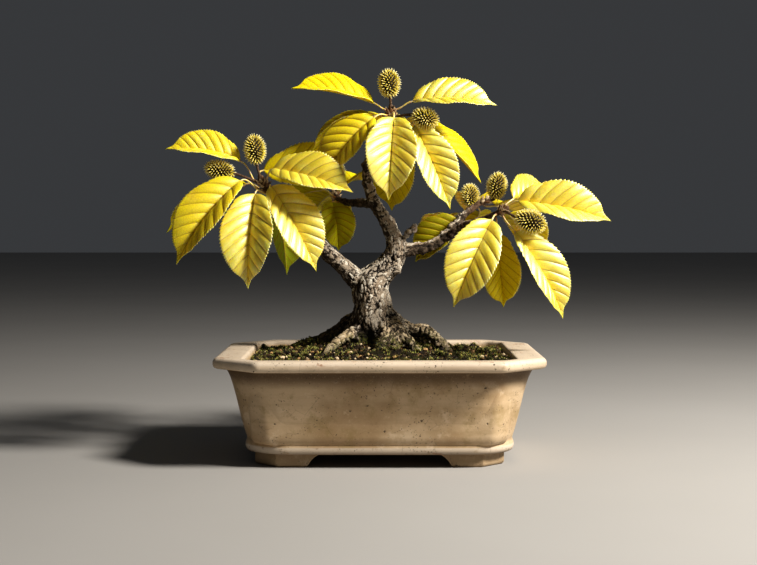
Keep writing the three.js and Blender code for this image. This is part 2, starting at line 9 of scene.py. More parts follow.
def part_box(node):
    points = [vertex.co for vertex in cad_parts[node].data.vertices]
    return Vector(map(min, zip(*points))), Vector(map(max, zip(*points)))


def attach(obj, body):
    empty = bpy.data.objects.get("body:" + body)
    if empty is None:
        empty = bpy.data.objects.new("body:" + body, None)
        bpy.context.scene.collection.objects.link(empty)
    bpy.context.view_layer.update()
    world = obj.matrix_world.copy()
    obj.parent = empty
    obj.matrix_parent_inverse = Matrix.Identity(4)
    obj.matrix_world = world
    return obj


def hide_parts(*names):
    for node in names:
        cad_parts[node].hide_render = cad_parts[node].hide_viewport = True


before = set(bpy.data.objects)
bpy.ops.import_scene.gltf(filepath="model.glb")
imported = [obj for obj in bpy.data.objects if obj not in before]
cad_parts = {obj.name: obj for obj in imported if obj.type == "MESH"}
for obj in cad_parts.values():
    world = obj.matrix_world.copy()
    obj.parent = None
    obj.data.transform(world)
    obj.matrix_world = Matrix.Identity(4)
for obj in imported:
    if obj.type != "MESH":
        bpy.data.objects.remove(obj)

noise.seed_set(8)
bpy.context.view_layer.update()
pot_low, pot_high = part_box("pot")
OFFSET = np.array([(pot_low.x + pot_high.x) / 2, (pot_low.y + pot_high.y) / 2, 0.0])

# Shapes that the solids share: points along each limb, with its radius there

LIMBS = {
    "trunk": [[-2, 9, 60, 24], [-2, 9, 82, 36], [-2, 8, 95, 35.5], [-3, 8, 105, 31.5], [-4, 7, 114, 27.5],
         [-5, 7, 123, 24], [-6, 7, 132, 21], [-6, 7, 141, 18.6], [-8, 7, 152, 18.6], [-6, 7, 161, 17.5],
         [-1, 7, 168, 14.3], [8, 7, 177, 11.6], [14, 7, 187, 11], [16, 7, 195, 10.5], [15, 7, 203, 9]],
    "left": [[-9, 7, 152, 12], [-16, 7, 160, 11], [-24, 6, 167, 9.6], [-32, 5, 174.5, 8.4],
         [-40, 4, 182, 8.2], [-49, 2, 190, 7.4], [-61, -2, 202, 6.5], [-77, -7, 218, 5.4],
         [-94, -13, 236, 4.2], [-106, -17, 250, 3.2], [-112, -19, 262, 2.6]],
    "leader": [[15, 7, 190, 10], [13, 7, 206, 7.5], [5, 7, 222, 6.6], [-5, 7, 238, 5.9], [-11, 8, 256, 5.2],
         [-11, 7, 276, 4.6], [-1, 3, 297, 3.8], [9, -2, 313, 3.2], [11, -4, 328, 2.8]],
    "right": [[8, 7, 182, 9], [20, 7, 191, 7.5], [34, 9, 194, 5.8], [47, 12, 196, 5.5], [60, 17, 203, 5],
         [73, 26, 216, 4.4], [82, 35, 226, 3.8], [94, 42, 235, 3], [107, 49, 241, 2.5]],
    "outer_right": [[58, 16, 201, 4], [70, 13, 209, 3.8], [82, 8, 217, 3.3], [97, 1, 222, 2.9],
         [110, -5, 227, 2.6], [121, -9, 233, 2.4]],
    "back": [[-4, 7, 235, 4.6], [-12, 21, 237, 4.3], [-22, 35, 237.5, 3.9], [-33, 53, 238.5, 3.4],
         [-41, 69, 242, 2.9], [-45, 81, 247, 2.5]],
}
STUBS = {
    "pruned_stub": [[14, 7, 193, 5], [20, 4, 200, 3.6], [25, 1, 206, 2.7], [29, -1, 210.5, 3.7],
         [32.5, -2.5, 213.5, 3.9], [34.5, -3.5, 215.5, 2.2]],
    "trunk_knob": [[4, 5, 172, 8], [13, 2, 174, 6.5], [19, 0, 175, 4.2]],
}
ROOTS = {
    "root_left": [[-12, 10, 130, 11], [-28, 14, 119, 11], [-44, 19, 109, 8.6], [-61, 26, 102.5, 6.8],
         [-78, 34, 98, 5.4], [-94, 41, 91, 4], [-104, 45, 84, 3]],
    "root_front_left": [[-12, -1, 122, 9], [-22, -10, 115.5, 6.8], [-33, -21, 111, 5.2],
         [-41, -28, 106, 4.7], [-48, -34, 99, 4.2], [-53, -40, 89, 3.2]],
    "root_front": [[2, -5, 124, 10], [6, -17, 116, 8], [5, -26, 110, 6.6], [1, -35, 103, 5.6],
         [-2, -44, 92, 4]],
    "root_front_right": [[8, -1, 124, 9], [15, -11, 119, 7.5], [21, -20, 113.5, 6], [28, -27, 107, 5],
         [34, -33, 100, 4.2], [39, -39, 90, 3.2]],
    "root_right": [[8, 6, 128, 11], [20, 4, 120, 9], [31, 2, 116.5, 6.8], [42, 0, 116.5, 6.6],
         [50, -2, 111.5, 6.2], [58, -4, 104, 5.8], [66, -6, 95, 4.6], [72, -8, 87, 3.4]],
    "root_back_right": [[5, 15, 124, 9], [17, 27, 114, 8], [30, 41, 106, 6.4], [43, 55, 99, 5],
         [53, 67, 88, 3.2]],
    "root_back_left": [[-12, 16, 124, 9], [-20, 29, 114, 8], [-29, 45, 106, 6.4], [-37, 61, 99, 4.8],
         [-44, 73, 88, 3]],
}
# limb, distance from its end, direction, length
BUDS = {
    "bud_left": ["left", 12, [0.7, 0, 0.7], 9],
    "bud_left_low": ["left", 24, [-0.4, -0.8, -0.4], 9],
    "bud_top": ["leader", 5, [0.5, -0.8, 0.7], 9],
    "bud_outer_right": ["outer_right", 8, [-0.2, -0.5, 0.8], 9],
    "bud_back": ["back", 2, [-0.6, 0.5, 0.5], 8],
}
# limb, distance of the stem from its end, middle, axis, the husk's radius and half length
BURS = {
    "bur_left_upright": ["left", 0, [-116, -19, 286.5], [-0.12, 0, 1], [8.4, 12.8]],
    "bur_left_side": ["left", 6, [-148, -27, 267], [-0.93, -0.2, 0.2], [7.6, 13]],
    "bur_top_upright": ["leader", 0, [9, -5, 349], [-0.08, 0, 1], [8.6, 12.4]],
    "bur_top_side": ["leader", 8, [42, -22, 315.5], [0.86, -0.4, -0.24], [8, 12.2]],
    "bur_right_side": ["outer_right", 2, [139, -35, 219.5], [0.86, -0.36, -0.3], [9.4, 14]],
    "bur_mid_low": ["right", 22, [89, 54, 244.5], [-0.12, 0.25, 1], [7.8, 11]],
    "bur_mid_high": ["right", 0, [115, 53, 254], [0.2, 0, 1], [8.4, 12.6]],
    "bur_back": ["back", 0, [-44, 87, 269], [0, 0.12, 1], [7.8, 11.2]],
}
Leaf = namedtuple("Leaf", "limb back base tip roll half fold arch olive")
# By shoot and the limb that carries it: the stalk's distance from the limb's end, the blade's base and tip,
# roll, half width, fold, arch, and how olive the leaf is, partly its own colour and partly painted shade
LEAVES = {
    ("left", "left"): [
        [7, [-130, -15, 276], [-199, -21, 287], -33, 25, 25, 4, 0.18],
        [15, [-128, -35, 257], [-184, -61, 181], -36, 27.5, 27, 7.5, 0.26],
        [18, [-114, -43, 245], [-119, -64, 159], -3, 28, 28, 7.5, 0],
        [21, [-100, -35, 252], [-58, -45, 174], 48, 26, 26, 6, 0.1],
        [6, [-99, -25, 268], [-24, -59, 246], 40, 25.5, 24, 4.5, 0.1],
        [5, [-110, 5, 268], [-32, 57, 280], 84, 22, 18, 6, 0.55],
        [20, [-104, 11, 250], [-90, 33, 168], 0, 24, 24, 6, 1],
        [14, [-126, -1, 255], [-203, 11, 209], 0, 24, 28, 6, 0.7],
    ],
    ("top", "leader"): [
        [4, [-6, -5, 331], [-82, -21, 343], -28, 25, 22, 4, 0.58],
        [3, [31, -7, 332], [110, -11, 328], 37, 25, 25, 4, 0],
        [9, [-5, -23, 316], [-52, -29, 257], -38, 26.5, 16, 5.5, 0.28],
        [11, [-7, 6, 319], [-65, 12, 286], -13, 25, 25, 5, 0.6],
        [8, [13, -35, 315], [8, -55, 239], -13, 27, 29, 7.5, 0],
        [18, [32.6, -14, 308.5], [66, -17, 231], 65, 23.1, 31, 4.8, 0],
        [15, [42, 11, 314], [97, 12, 256], 21, 25, 18, 2, 0.6],
        [21, [24, 21, 312], [12, 47, 230], -132, 26, 20, 8, 0.6],
        [5, [4, 21, 319], [-6, 98, 290], 0, 24, 28, 5, 0.3],
        [7, [24, 20, 317], [60, 95, 268], 0, 25, 28, 6, 0.3],
    ],
    ("right", "outer_right"): [
        [3, [130, -9, 239], [217, -13, 220], 57, 25.5, 32, 5.5, 0.12],
        [8, [127, 5, 241], [169, 78, 251], 28, 21, 28, 3, 0.1],
        [13, [104, -27, 221], [68, -39, 141], -61, 27, 26, 6, 0.05],
        [16, [111, 10, 209], [120, 29, 137], 153, 22, 32, 4.5, 0.58],
        [8, [126, -23, 210], [171, -23, 129], 58, 24.2, 32, 6.4, 0],
        [10, [123, 13, 227], [156, 73, 179], 0, 24, 26, 6, 0.6],
    ],
    ("mid", "right"): [
        [40, [76, 45, 222], [35, 47, 180], -60, 22, 30, 3, 1.35],
        [26, [71, 59, 224], [49, 128, 196], 0, 18.5, 28, 5, 0.5],
        [12, [99, 63, 229], [93, 119, 178], 0, 23, 26, 6, 0.7],
        [6, [115, 63, 235], [160, 123, 210], 0, 24, 28, 6, 0.5],
        [5, [101, 70, 240], [91, 143, 226], 0, 21, 28, 5, 0.4],
    ],
    ("back", "back"): [
        [22, [-46.6, 66, 238], [-40.3, 60, 190.5], 35, 21, 36, 7, 1.16],
        [12, [-57, 81, 251], [-110, 99, 226], 0, 22, 26, 6, 0.8],
        [3, [-36, 87, 255], [-11, 143, 260], 0, 21, 28, 5, 0.6],
        [8, [-48, 97, 247], [-74, 150, 218], 0, 22, 26, 6, 0.6],
        [15, [-42, 100, 240], [-46, 141, 203], 0, 17, 24, 6, 0.7],
    ],
}
LIME_LEAF = "leaf_left_7"

RIM_LENGTH, RIM_DEPTH, RIM_CHAMFER = 300, 241, 41
POT_HEIGHT, FOOT_HEIGHT, INNER_FLOOR = 98, 12, 20
OPENING_LENGTH, OPENING_DEPTH, OPENING_CHAMFER, WALL_TAPER = 244, 203, 14, 9
DRAIN_OFFSET, DRAIN_RADIUS = 62, 8
SOIL_EDGE_HEIGHT, SOIL_MOUND, TRUNK_SET_BACK = 91.5, 14, 7

# The swelling between the two front roots
ROOT_FOLD = [[6, -2, 124, 9], [11, -12, 117, 8.5], [14, -20, 110, 7.2], [15, -28, 102, 6], [16, -34, 94, 4.5]]

# Helpers


def to_row(points):
    return np.asarray(points, float) / 1000 + OFFSET


def unit(v):
    v = np.asarray(v, float)
    return v / np.maximum(np.linalg.norm(v, axis=-1, keepdims=True), 1e-12)


def smoothstep(low, high, x):
    t = np.clip((np.asarray(x, float) - low) / (high - low), 0, 1)
    return t * t * (3 - 2 * t)


def evenly(count):
    return np.linspace(0, 1, count)


def round_angles(count):
    return np.linspace(0, 2 * pi, count, endpoint=False)


def linked(name, data):
    obj = bpy.data.objects.new(name, data)
    bpy.context.scene.collection.objects.link(obj)
    return obj


def mesh_of(name, points, faces):
    mesh = bpy.data.meshes.new(name)
    mesh.from_pydata(to_row(points).tolist(), [], faces)
    return mesh


def evaluated_mesh(obj):
    return bpy.data.meshes.new_from_object(obj.evaluated_get(bpy.context.evaluated_depsgraph_get()))


def dress(name, mesh, material, node, values, smooth=True):
    """Makes a piece of a mesh: its per-point values, shading and material, and the node that it replaces."""
    for key, data in values.items():
        data = np.asarray(data, np.float32)
        kind, field = ("FLOAT_VECTOR", "vector") if data.ndim == 2 else ("FLOAT", "value")
        mesh.attributes.new(key, kind, "POINT").data.foreach_set(field, data.ravel())
    mesh.polygons.foreach_set("use_smooth", np.full(len(mesh.polygons), smooth))
    mesh.materials.clear()
    mesh.materials.append(material)
    obj = linked(name, mesh)
    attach(obj, "root")
    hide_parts(node)
    return obj


class Heap:
    """Points, faces and per-point values, gathered from several closed shapes into one mesh."""

    def __init__(self, *keys):
        self.points, self.faces, self.count = [], [], 0
        self.values = {key: [] for key in keys}

    def add(self, points, faces, **values):
        self.points.append(np.asarray(points, float))
        self.faces.extend([tuple(i + self.count for i in face) for face in faces])
        for key in self.values:
            self.values[key].append(np.broadcast_to(values.get(key, 0.0), (len(points),)))
        self.count += len(points)

    def piece(self, name, material, node, smooth=True):
        mesh = mesh_of(name, np.concatenate(self.points), self.faces)
        values = {key: np.concatenate(data) for key, data in self.values.items()}
        return dress(name, mesh, material, node, values, smooth)


def catmull_rom(rows, t):
    """Positions and radii along a limb's rows, at t from 0 to 1: an even Catmull-Rom spline."""
    rows = np.asarray(rows, float)
    points = rows[:, :3]
    padded = np.vstack([2 * points[0] - points[1], points, 2 * points[-1] - points[-2]])
    place = np.clip(np.asarray(t, float) * (len(points) - 1), 0, len(points) - 1.000001)
    i = np.floor(place).astype(int)
    w = (place - i)[:, None]
    a, b, c, d = (padded[i + k] for k in range(4))
    slope_b, slope_c = 0.5 * (c - a), 0.5 * (d - b)
    along = ((2 * w**3 - 3 * w**2 + 1) * b + (w**3 - 2 * w**2 + w) * slope_b
             + (-2 * w**3 + 3 * w**2) * c + (w**3 - w**2) * slope_c)
    radii = rows[i, 3] * (1 - w[:, 0]) + rows[i + 1, 3] * w[:, 0]
    return along, radii


def bezier(controls, t):
    t = np.asarray(t, float)[:, None]
    a, b, c, d = (np.asarray(p, float) for p in controls)
    return (1 - t) ** 3 * a + 3 * t * (1 - t) ** 2 * b + 3 * t**2 * (1 - t) * c + t**3 * d


def lengths_along(path):
    return np.concatenate([[0], np.cumsum(np.linalg.norm(np.diff(path, axis=0), axis=1))])


def ring_faces(rings, count):
    """Faces of a closed skin over rings of so many points, with a flat face at each end."""
    faces = [tuple(range(count))[::-1]]
    for r in range(0, (rings - 1) * count, count):
        faces += [(r + k, r + (k + 1) % count, r + count + (k + 1) % count, r + count + k) for k in range(count)]
    return faces + [tuple((rings - 1) * count + k for k in range(count))]


def loft(rings):
    return np.concatenate(rings), ring_faces(len(rings), len(rings[0]))


def tube(path, radii, sides):
    """A closed tube along a path with rounded-off ends: points and faces."""
    path = np.asarray(path, float)
    tangents = unit(np.gradient(path, axis=0))
    side = unit(np.cross([1, 0.1, 0.05], tangents[0]))
    rings, angles = [], round_angles(sides)
    for point, tangent, radius in zip(path, tangents, radii):
        side = unit(side - tangent * (side @ tangent))
        across = np.cross(tangent, side)
        rings.append(point + radius * (np.cos(angles)[:, None] * side + np.sin(angles)[:, None] * across))
    ends = [path[0] - tangents[0] * radii[0] * 0.4, path[-1] + tangents[-1] * radii[-1] * 0.6]
    faces = []
    last = (len(path) - 1) * sides
    for k in range(sides):
        n = (k + 1) % sides
        faces += [(r + k, r + n, r + sides + n, r + sides + k) for r in range(0, last, sides)]
        faces += [(n, k, last + sides), (last + k, last + n, last + sides + 1)]
    return np.concatenate([*rings, ends]), faces


def seat_on(limb, back):
    """Centre, direction and radius of a limb at a distance back from its end."""
    t = evenly(201)
    steps = lengths_along(catmull_rom(LIMBS[limb], t)[0])
    place = np.interp(steps[-1] - back, steps, t)
    around, radius = catmull_rom(LIMBS[limb], [place - 0.004, place, place + 0.004])
    return around[1], unit(around[2] - around[0]), radius[1]


# Materials


class Shader:
    """A material's nodes, by short calls. Places are in metres."""

    def __init__(self, name, **constants):
        self.material = bpy.data.materials.new(name)
        self.material.use_nodes = True
        self.tree = self.material.node_tree
        self.surface = self.tree.nodes["Principled BSDF"]
        for key, value in constants.items():
            self.surface.inputs[key.replace("_", " ")].default_value = value
        self.place = self.node("TexCoord", "Object", {})

    def node(self, kind, output, inputs, **settings):
        made = self.tree.nodes.new("ShaderNode" + kind)
        for key, value in settings.items():
            setattr(made, key, value)
        for key, value in inputs.items():
            self.set(made.inputs[key], value)
        return made.outputs[output]

    def set(self, socket, value):
        if isinstance(value, bpy.types.NodeSocket):
            self.tree.links.new(value, socket)
        else:
            socket.default_value = (*value, 1) if socket.type == "RGBA" else value

    def values(self, *names):
        return [self.node("Attribute", "Fac", {}, attribute_name=name) for name in names]

    def stretched(self, x, y, z, place=None):
        return self.node("Mapping", "Vector", {"Vector": place or self.place, "Scale": (x, y, z)})

    def noise(self, scale, detail=3, roughness=0.5, place=None):
        return self.node("TexNoise", "Fac", {"Vector": place or self.place, "Scale": scale, "Detail": detail,
                                             "Roughness": roughness})

    def ragged(self, scale, amount):
        """The place, moved about by noise, which makes round marks ragged."""
        cloud = self.node("TexNoise", "Color", {"Vector": self.place, "Scale": scale})
        centred = self.node("VectorMath", 0, {0: cloud, 1: (0.5, 0.5, 0.5)}, operation="SUBTRACT")
        move = self.node("VectorMath", 0, {0: centred, "Scale": amount * 2}, operation="SCALE")
        return self.node("VectorMath", 0, {0: self.place, 1: move}, operation="ADD")

    def cells(self, scale, feature="F1", place=None):
        return self.node("TexVoronoi", "Distance", {"Vector": place or self.place, "Scale": scale}, feature=feature)

    def band(self, value, low, high, to_low=0, to_high=1):
        inputs = {"Value": value, "From Min": low, "From Max": high, "To Min": to_low, "To Max": to_high}
        return self.node("MapRange", "Result", inputs, interpolation_type="SMOOTHSTEP")

    def maths(self, operation, a, b):
        return self.node("Math", 0, {0: a, 1: b}, operation=operation)

    def times(self, a, b):
        return self.maths("MULTIPLY", a, b)

    def mix(self, share, a, b):
        return self.node("Mix", 2, {"Factor": share, 6: a, 7: b}, data_type="RGBA")

    def over(self, colour, *layers):
        """Lays colours over the first one, each by its share."""
        for share, added in layers:
            colour = self.mix(share, colour, added)
        return colour

    def bump(self, height, strength, distance):
        return self.node("Bump", "Normal", {"Height": height, "Strength": strength, "Distance": distance})

    def finish(self, **links):
        for key, value in links.items():
            self.set(self.surface.inputs[key.replace("_", " ")], value)
        return self.material


def leaf_material(name, gloss, coat):
    s = Shader(name, Specular_IOR_Level=gloss, Subsurface_Weight=0.9, Subsurface_Scale=0.0008,
               Subsurface_Radius=(1.0, 0.86, 0.03), Coat_Weight=coat, Coat_Roughness=0.5, Coat_IOR=1.9)
    along, across, vein, olive = s.values("along", "across", "vein", "olive")
    part, stalk, lime = s.values("part", "stalk", "lime")
    cloud, fine = s.noise(60, 4, 0.6), s.noise(420, 3, 0.6)
    net = s.band(s.cells(460, "DISTANCE_TO_EDGE"), 0, 0.12, 1, 0)
    colour = s.over(
        (0.93, 0.82, 0.16),
        (s.band(cloud, 0.34, 0.6), (0.88, 0.69, 0.02)),
        # olive and shade: partly the leaf's own olive colour, partly painted shade; above 1.1 it paints a shadow over
        # the leaf
        (s.band(olive, 0, 0.36), (0.88, 0.69, 0.01)),
        (s.band(olive, 0.3, 1.05, 0, 0.85), s.mix(lime, (0.53, 0.55, 0.006), (0.4, 0.54, 0.03))),
        (s.band(olive, 1.1, 1.4, 0, 0.6), (0.14, 0.11, 0.003)),
        # deeper beside the rib, painted shade in the dips beside the veins, a pale line along the margin, dots and
        # scorched patches
        (s.band(across, 0, 0.2, 0.3, 0), (0.62, 0.46, 0.02)),
        (s.band(vein, 0.1, 1.5, 0.34, 0), (0.62, 0.42, 0.005)),
        (s.band(across, 0.965, 0.995, 0, 0.6), (0.95, 0.85, 0.4)),
        (s.band(fine, 0.62, 0.78, 0, 0.2), (0.6, 0.36, 0.03)),
        (s.times(s.band(s.noise(24, 5, 0.65), 0.6, 0.74), s.band(across, 0.45, 0.95, 0, 0.45)), (0.66, 0.36, 0.03)),
        # net veins, side veins, rib and stalk
        (s.times(net, s.band(olive, 0.02, 0.2, 0.14, 0.32)), (0.42, 0.28, 0.015)),
        (s.band(vein, 0.1, 0.5, 0.7, 0), (0.36, 0.24, 0.01)),
        (s.band(part, 0.2, 0.4), s.mix(s.band(along, 0, 0.7), (0.8, 0.66, 0.26), (0.45, 0.36, 0.06))),
        (s.band(part, 0.7, 0.9), s.mix(s.band(stalk, 0, 0.45), (0.34, 0.13, 0.04), (0.8, 0.64, 0.26))),
    )
    height = s.maths("ADD", s.times(fine, 0.5), s.times(net, -0.5))
    return s.finish(Base_Color=colour, Roughness=s.band(cloud, 0.3, 0.7, 0.44, 0.54),
                    Normal=s.bump(height, 0.35, 0.0004))


def bur_material():
    s = Shader("bur_spines", Specular_IOR_Level=0.4)
    reach, = s.values("reach")
    # a near-black husk and spine bases, partly painted shade between the spines, and cream tips, partly a painted
    # highlight
    colour = s.over(
        (0.02, 0.012, 0.004),
        (s.band(reach, 0, 0.24), s.mix(s.band(s.noise(120, 2), 0.35, 0.65), (0.8, 0.66, 0.07), (0.92, 0.76, 0.2))),
        (s.band(reach, 0.5, 0.85), (0.98, 0.93, 0.6)),
    )
    return s.finish(Base_Color=colour, Roughness=s.band(reach, 0, 0.3, 0.95, 0.42))


def bark_material():
    s = Shader("bark", Specular_IOR_Level=0.3)
    girth, fissure_and_shade, mossy, pale, plate, root = s.values("girth", "fissure_and_shade", "mossy", "pale", "plate", "root")
    grown = s.node("Attribute", "Vector", {}, attribute_name="grown")
    patch, grain = s.noise(0.3, 4, 0.65, grown), s.noise(1.3, 4, 0.7, grown)
    dash = s.band(s.noise(0.8, 3, 0.6, s.stretched(1, 1, 0.8, grown)), 0.58, 0.64)
    dash_fine = s.band(s.noise(2.1, 3, 0.6, s.stretched(1, 1, 0.7, grown)), 0.58, 0.64, 0, 0.55)
    marks = s.maths("MAXIMUM", s.times(dash, s.band(girth, 2.6, 6, 0.3, 0.95)), dash_fine)
    light = s.over(
        (0.4, 0.31, 0.22),
        (s.band(s.noise(0.055, 4, 0.6, grown), 0.36, 0.64), (0.6, 0.53, 0.43)),
        (s.band(plate, 0.42, 0.66, 0, 0.85), (0.84, 0.78, 0.66)),
        (s.band(root, 0.3, 0.9, 0, 0.6), (0.6, 0.46, 0.27)),
    )
    twig = s.mix(s.band(grain, 0.42, 0.62), (0.2, 0.115, 0.065), (0.06, 0.03, 0.016))
    green = s.mix(s.band(s.noise(380, 3), 0.42, 0.62), (0.014, 0.018, 0.004), (0.17, 0.18, 0.018))
    colour = s.over(
        # dark skin on young wood and, as painted shade, on shaded wood; grey-beige plates on the trunk, and on the
        # limbs' tops as painted light
        (0.035, 0.024, 0.015),
        (s.band(patch, 0.4, 0.6), (0.14, 0.1, 0.066)),
        (s.band(s.maths("ADD", pale, s.band(patch, 0.3, 0.7, -0.35, 0.35)), 0.28, 0.62), light),
        (s.band(grain, 0.6, 0.78, 0, 0.45), (0.1, 0.066, 0.042)),
        (marks, (0.028, 0.019, 0.012)),
        (s.band(girth, 2.6, 4, 0.85, 0), twig),
        # near-black in the fissures and grooves, and painted shade in the notch below the fork and the hollow between
        # the front roots
        (s.band(fissure_and_shade, 0.25, 0.7), (0.014, 0.009, 0.006)),
        (s.times(mossy, s.band(s.noise(90, 4, 0.65), 0.4, 0.54)), green),
    )
    height = s.maths("SUBTRACT", s.times(grain, 0.9), marks)
    return s.finish(Base_Color=colour, Roughness=s.band(grain, 0.3, 0.7, 0.7, 0.95),
                    Normal=s.bump(height, 0.9, 0.0012))


def scale_material():
    s = Shader("bud_scale", Specular_IOR_Level=0.4, Roughness=0.6)
    shade, = s.values("shade")
    return s.finish(Base_Color=s.over(
        (0.3, 0.16, 0.08),
        (s.band(shade, 0.2, 0.8), (0.8, 0.64, 0.42)),
        (s.band(s.noise(900, 3), 0.5, 0.7, 0, 0.6), (0.1, 0.05, 0.025)),
    ))


def soil_material():
    s = Shader("soil_bed", Specular_IOR_Level=0.2, Roughness=0.95)
    grain = s.noise(500, 5, 0.7)
    colour = s.over(
        (0.006, 0.0045, 0.003),
        (s.band(grain, 0.42, 0.68), (0.045, 0.03, 0.015)),
        (s.band(s.noise(60, 4), 0.5, 0.65, 0, 0.6), (0.05, 0.055, 0.012)),
    )
    return s.finish(Base_Color=colour, Normal=s.bump(grain, 1, 0.0015))


def grit_material():
    s = Shader("soil_grit", Specular_IOR_Level=0.3, Roughness=0.8)
    shade, = s.values("shade")
    colour = s.over(
        (0.012, 0.008, 0.005),
        (s.band(shade, 0, 0.5), (0.09, 0.054, 0.024)),
        (s.band(shade, 0.56, 0.76), (0.46, 0.28, 0.12)),
        (s.band(shade, 0.78, 0.92), (0.78, 0.62, 0.4)),
        (s.band(s.noise(900, 4, 0.7), 0.5, 0.7, 0, 0.4), (0.06, 0.04, 0.02)),
    )
    return s.finish(Base_Color=colour, Normal=s.bump(s.noise(1500, 3), 0.5, 0.0005))


def moss_material():
    s = Shader("moss", Specular_IOR_Level=0.3, Roughness=0.6, Subsurface_Weight=0.1, Subsurface_Scale=0.001)
    shade, reach = s.values("shade", "reach")
    tips = s.times(s.band(reach, 0.2, 0.9), s.band(shade, 0.42, 0.72))
    return s.finish(Base_Color=s.over((0.008, 0.01, 0.002), (shade, (0.07, 0.078, 0.007)), (tips, (0.86, 0.82, 0.24))))


def pot_material():
    s = Shader("stoneware", Specular_IOR_Level=0.35, Coat_Weight=0.1, Coat_Roughness=0.4)
    worn, stain = s.values("worn", "stain")
    cloud, blot, fine = s.noise(14, 5, 0.6), s.noise(34, 5, 0.7), s.noise(650, 4, 0.65)
    wipe = s.noise(40, 4, 0.6, s.stretched(0.25, 0.25, 1.6))
    rust = s.band(s.noise(75, 5, 0.75, s.stretched(0.5, 0.5, 1.6)), 0.6, 0.65)
    # ragged specks, large and small, and hairlines, each where a second noise lets them show
    ragged = s.ragged(700, 0.0016)
    speck = s.times(s.band(s.cells(120, place=ragged), 0.08, 0.15, 1, 0), s.band(s.noise(60, 2), 0.5, 0.58))
    small = s.times(s.band(s.cells(360, place=ragged), 0.12, 0.24, 1, 0), s.band(s.noise(50, 3), 0.46, 0.58, 0, 0.85))
    hair = s.times(s.band(s.cells(60, "DISTANCE_TO_EDGE"), 0, 0.016, 1, 0), s.band(s.noise(45, 3), 0.54, 0.62, 0, 0.35))
    marks = s.maths("MAXIMUM", s.maths("MAXIMUM", speck, small), hair)
    colour = s.over(
        (0.44, 0.3, 0.165),
        (s.band(cloud, 0.36, 0.66), (0.66, 0.5, 0.32)),
        (s.band(wipe, 0.42, 0.7, 0, 0.5), (0.36, 0.245, 0.12)),
        (s.band(blot, 0.34, 0.48, 0.55, 0), (0.34, 0.24, 0.1)),
        (s.band(blot, 0.56, 0.66, 0, 0.5), (0.76, 0.61, 0.43)),
        # paler rim top, lip and bead: partly wear, partly painted light
        (s.band(worn, 0.1, 1, 0, 0.72), (0.66, 0.575, 0.475)),
        # painted shade under the lip, around the bead and on the feet
        (s.band(stain, 0, 1, 0, 0.95), (0.1, 0.055, 0.02)),
        (s.times(rust, s.band(worn, 0.5, 0.9, 0, 0.75)), (0.3, 0.13, 0.06)),
        (s.band(s.noise(90, 5, 0.75), 0.57, 0.7, 0, 0.45), (0.33, 0.22, 0.11)),
        (s.times(marks, 0.92), (0.04, 0.026, 0.013)),
        (s.band(fine, 0.55, 0.75, 0, 0.2), (0.8, 0.68, 0.5)),
    )
    height = s.maths("SUBTRACT", s.maths("ADD", s.times(fine, 0.3), s.times(wipe, 0.4)), marks)
    return s.finish(Base_Color=colour, Roughness=s.band(fine, 0.3, 0.7, 0.5, 0.68),
                    Normal=s.bump(height, 0.45, 0.0007))


def mesh_material():
    s = Shader("drain_plastic", Specular_IOR_Level=0.4, Roughness=0.6)
    return s.finish(Base_Color=s.mix(s.noise(300, 3), (0.02, 0.02, 0.02), (0.05, 0.05, 0.045)))


def floor_material():
    s = Shader("pale_floor", Specular_IOR_Level=0.2, Roughness=0.9)
    return s.finish(Base_Color=s.mix(s.noise(3, 3), (0.36, 0.35, 0.335), (0.4, 0.39, 0.375)))


# Leaves: a pleated blade with toothed margins, its rib, and its stalk

VEIN_PAIRS, ROWS_PER_VEIN, BLADE_THICKNESS = 9, 15, 0.4
COLUMNS = np.array([0.045, 0.17, 0.33, 0.5, 0.67, 0.83, 0.945, 1.0])
TOOTH = np.array([0.0, 0.3, 0.65, 1.0])
STALK_POINTS, RIB_POINTS, STALK_SIDES = 13, 26, 8


def outline_at(t):
    """How wide a blade is at t from its base to its tip, as a share of its half width."""
    t = np.clip(t, 0, 1)
    wide = np.maximum(np.sin(pi * t**0.92), 0) ** 0.75 * (1 - 0.55 * t**8)
    return wide * (1 + 0.4 * (1 - smoothstep(0, 0.22, t))) * (1 - 0.38 * smoothstep(0.83, 0.92, t))


def margin_at(s):
    """Where the side vein that leaves the rib at s reaches the margin."""
    return s + 0.85 * s**0.75 * (1 - s) ** 1.25


def leaf_frames(leaf, t):
    """Points on a blade's arched middle line, its directions, its normals and the directions across it."""
    base, tip, roll = np.array(leaf.base, float), np.array(leaf.tip, float), radians(leaf.roll)
    chord = unit(tip - base)
    up = np.array([0, 0, 1.0]) + unit(np.array([chord[0], chord[1], 0.0])) * 0.7
    up = unit(up - chord * (up @ chord))
    up = up * cos(roll) + np.cross(chord, up) * sin(roll)
    crown = (base + tip) / 2 + up * 2 * leaf.arch
    t = np.asarray(t, float)[..., None]
    point = (1 - t) ** 2 * base + 2 * t * (1 - t) * crown + t**2 * tip
    tangent = unit(2 * (1 - t) * (crown - base) + 2 * t * (tip - crown))
    normal = unit(up - tangent * (tangent @ up)[..., None])
    return point, tangent, normal, np.cross(tangent, normal)


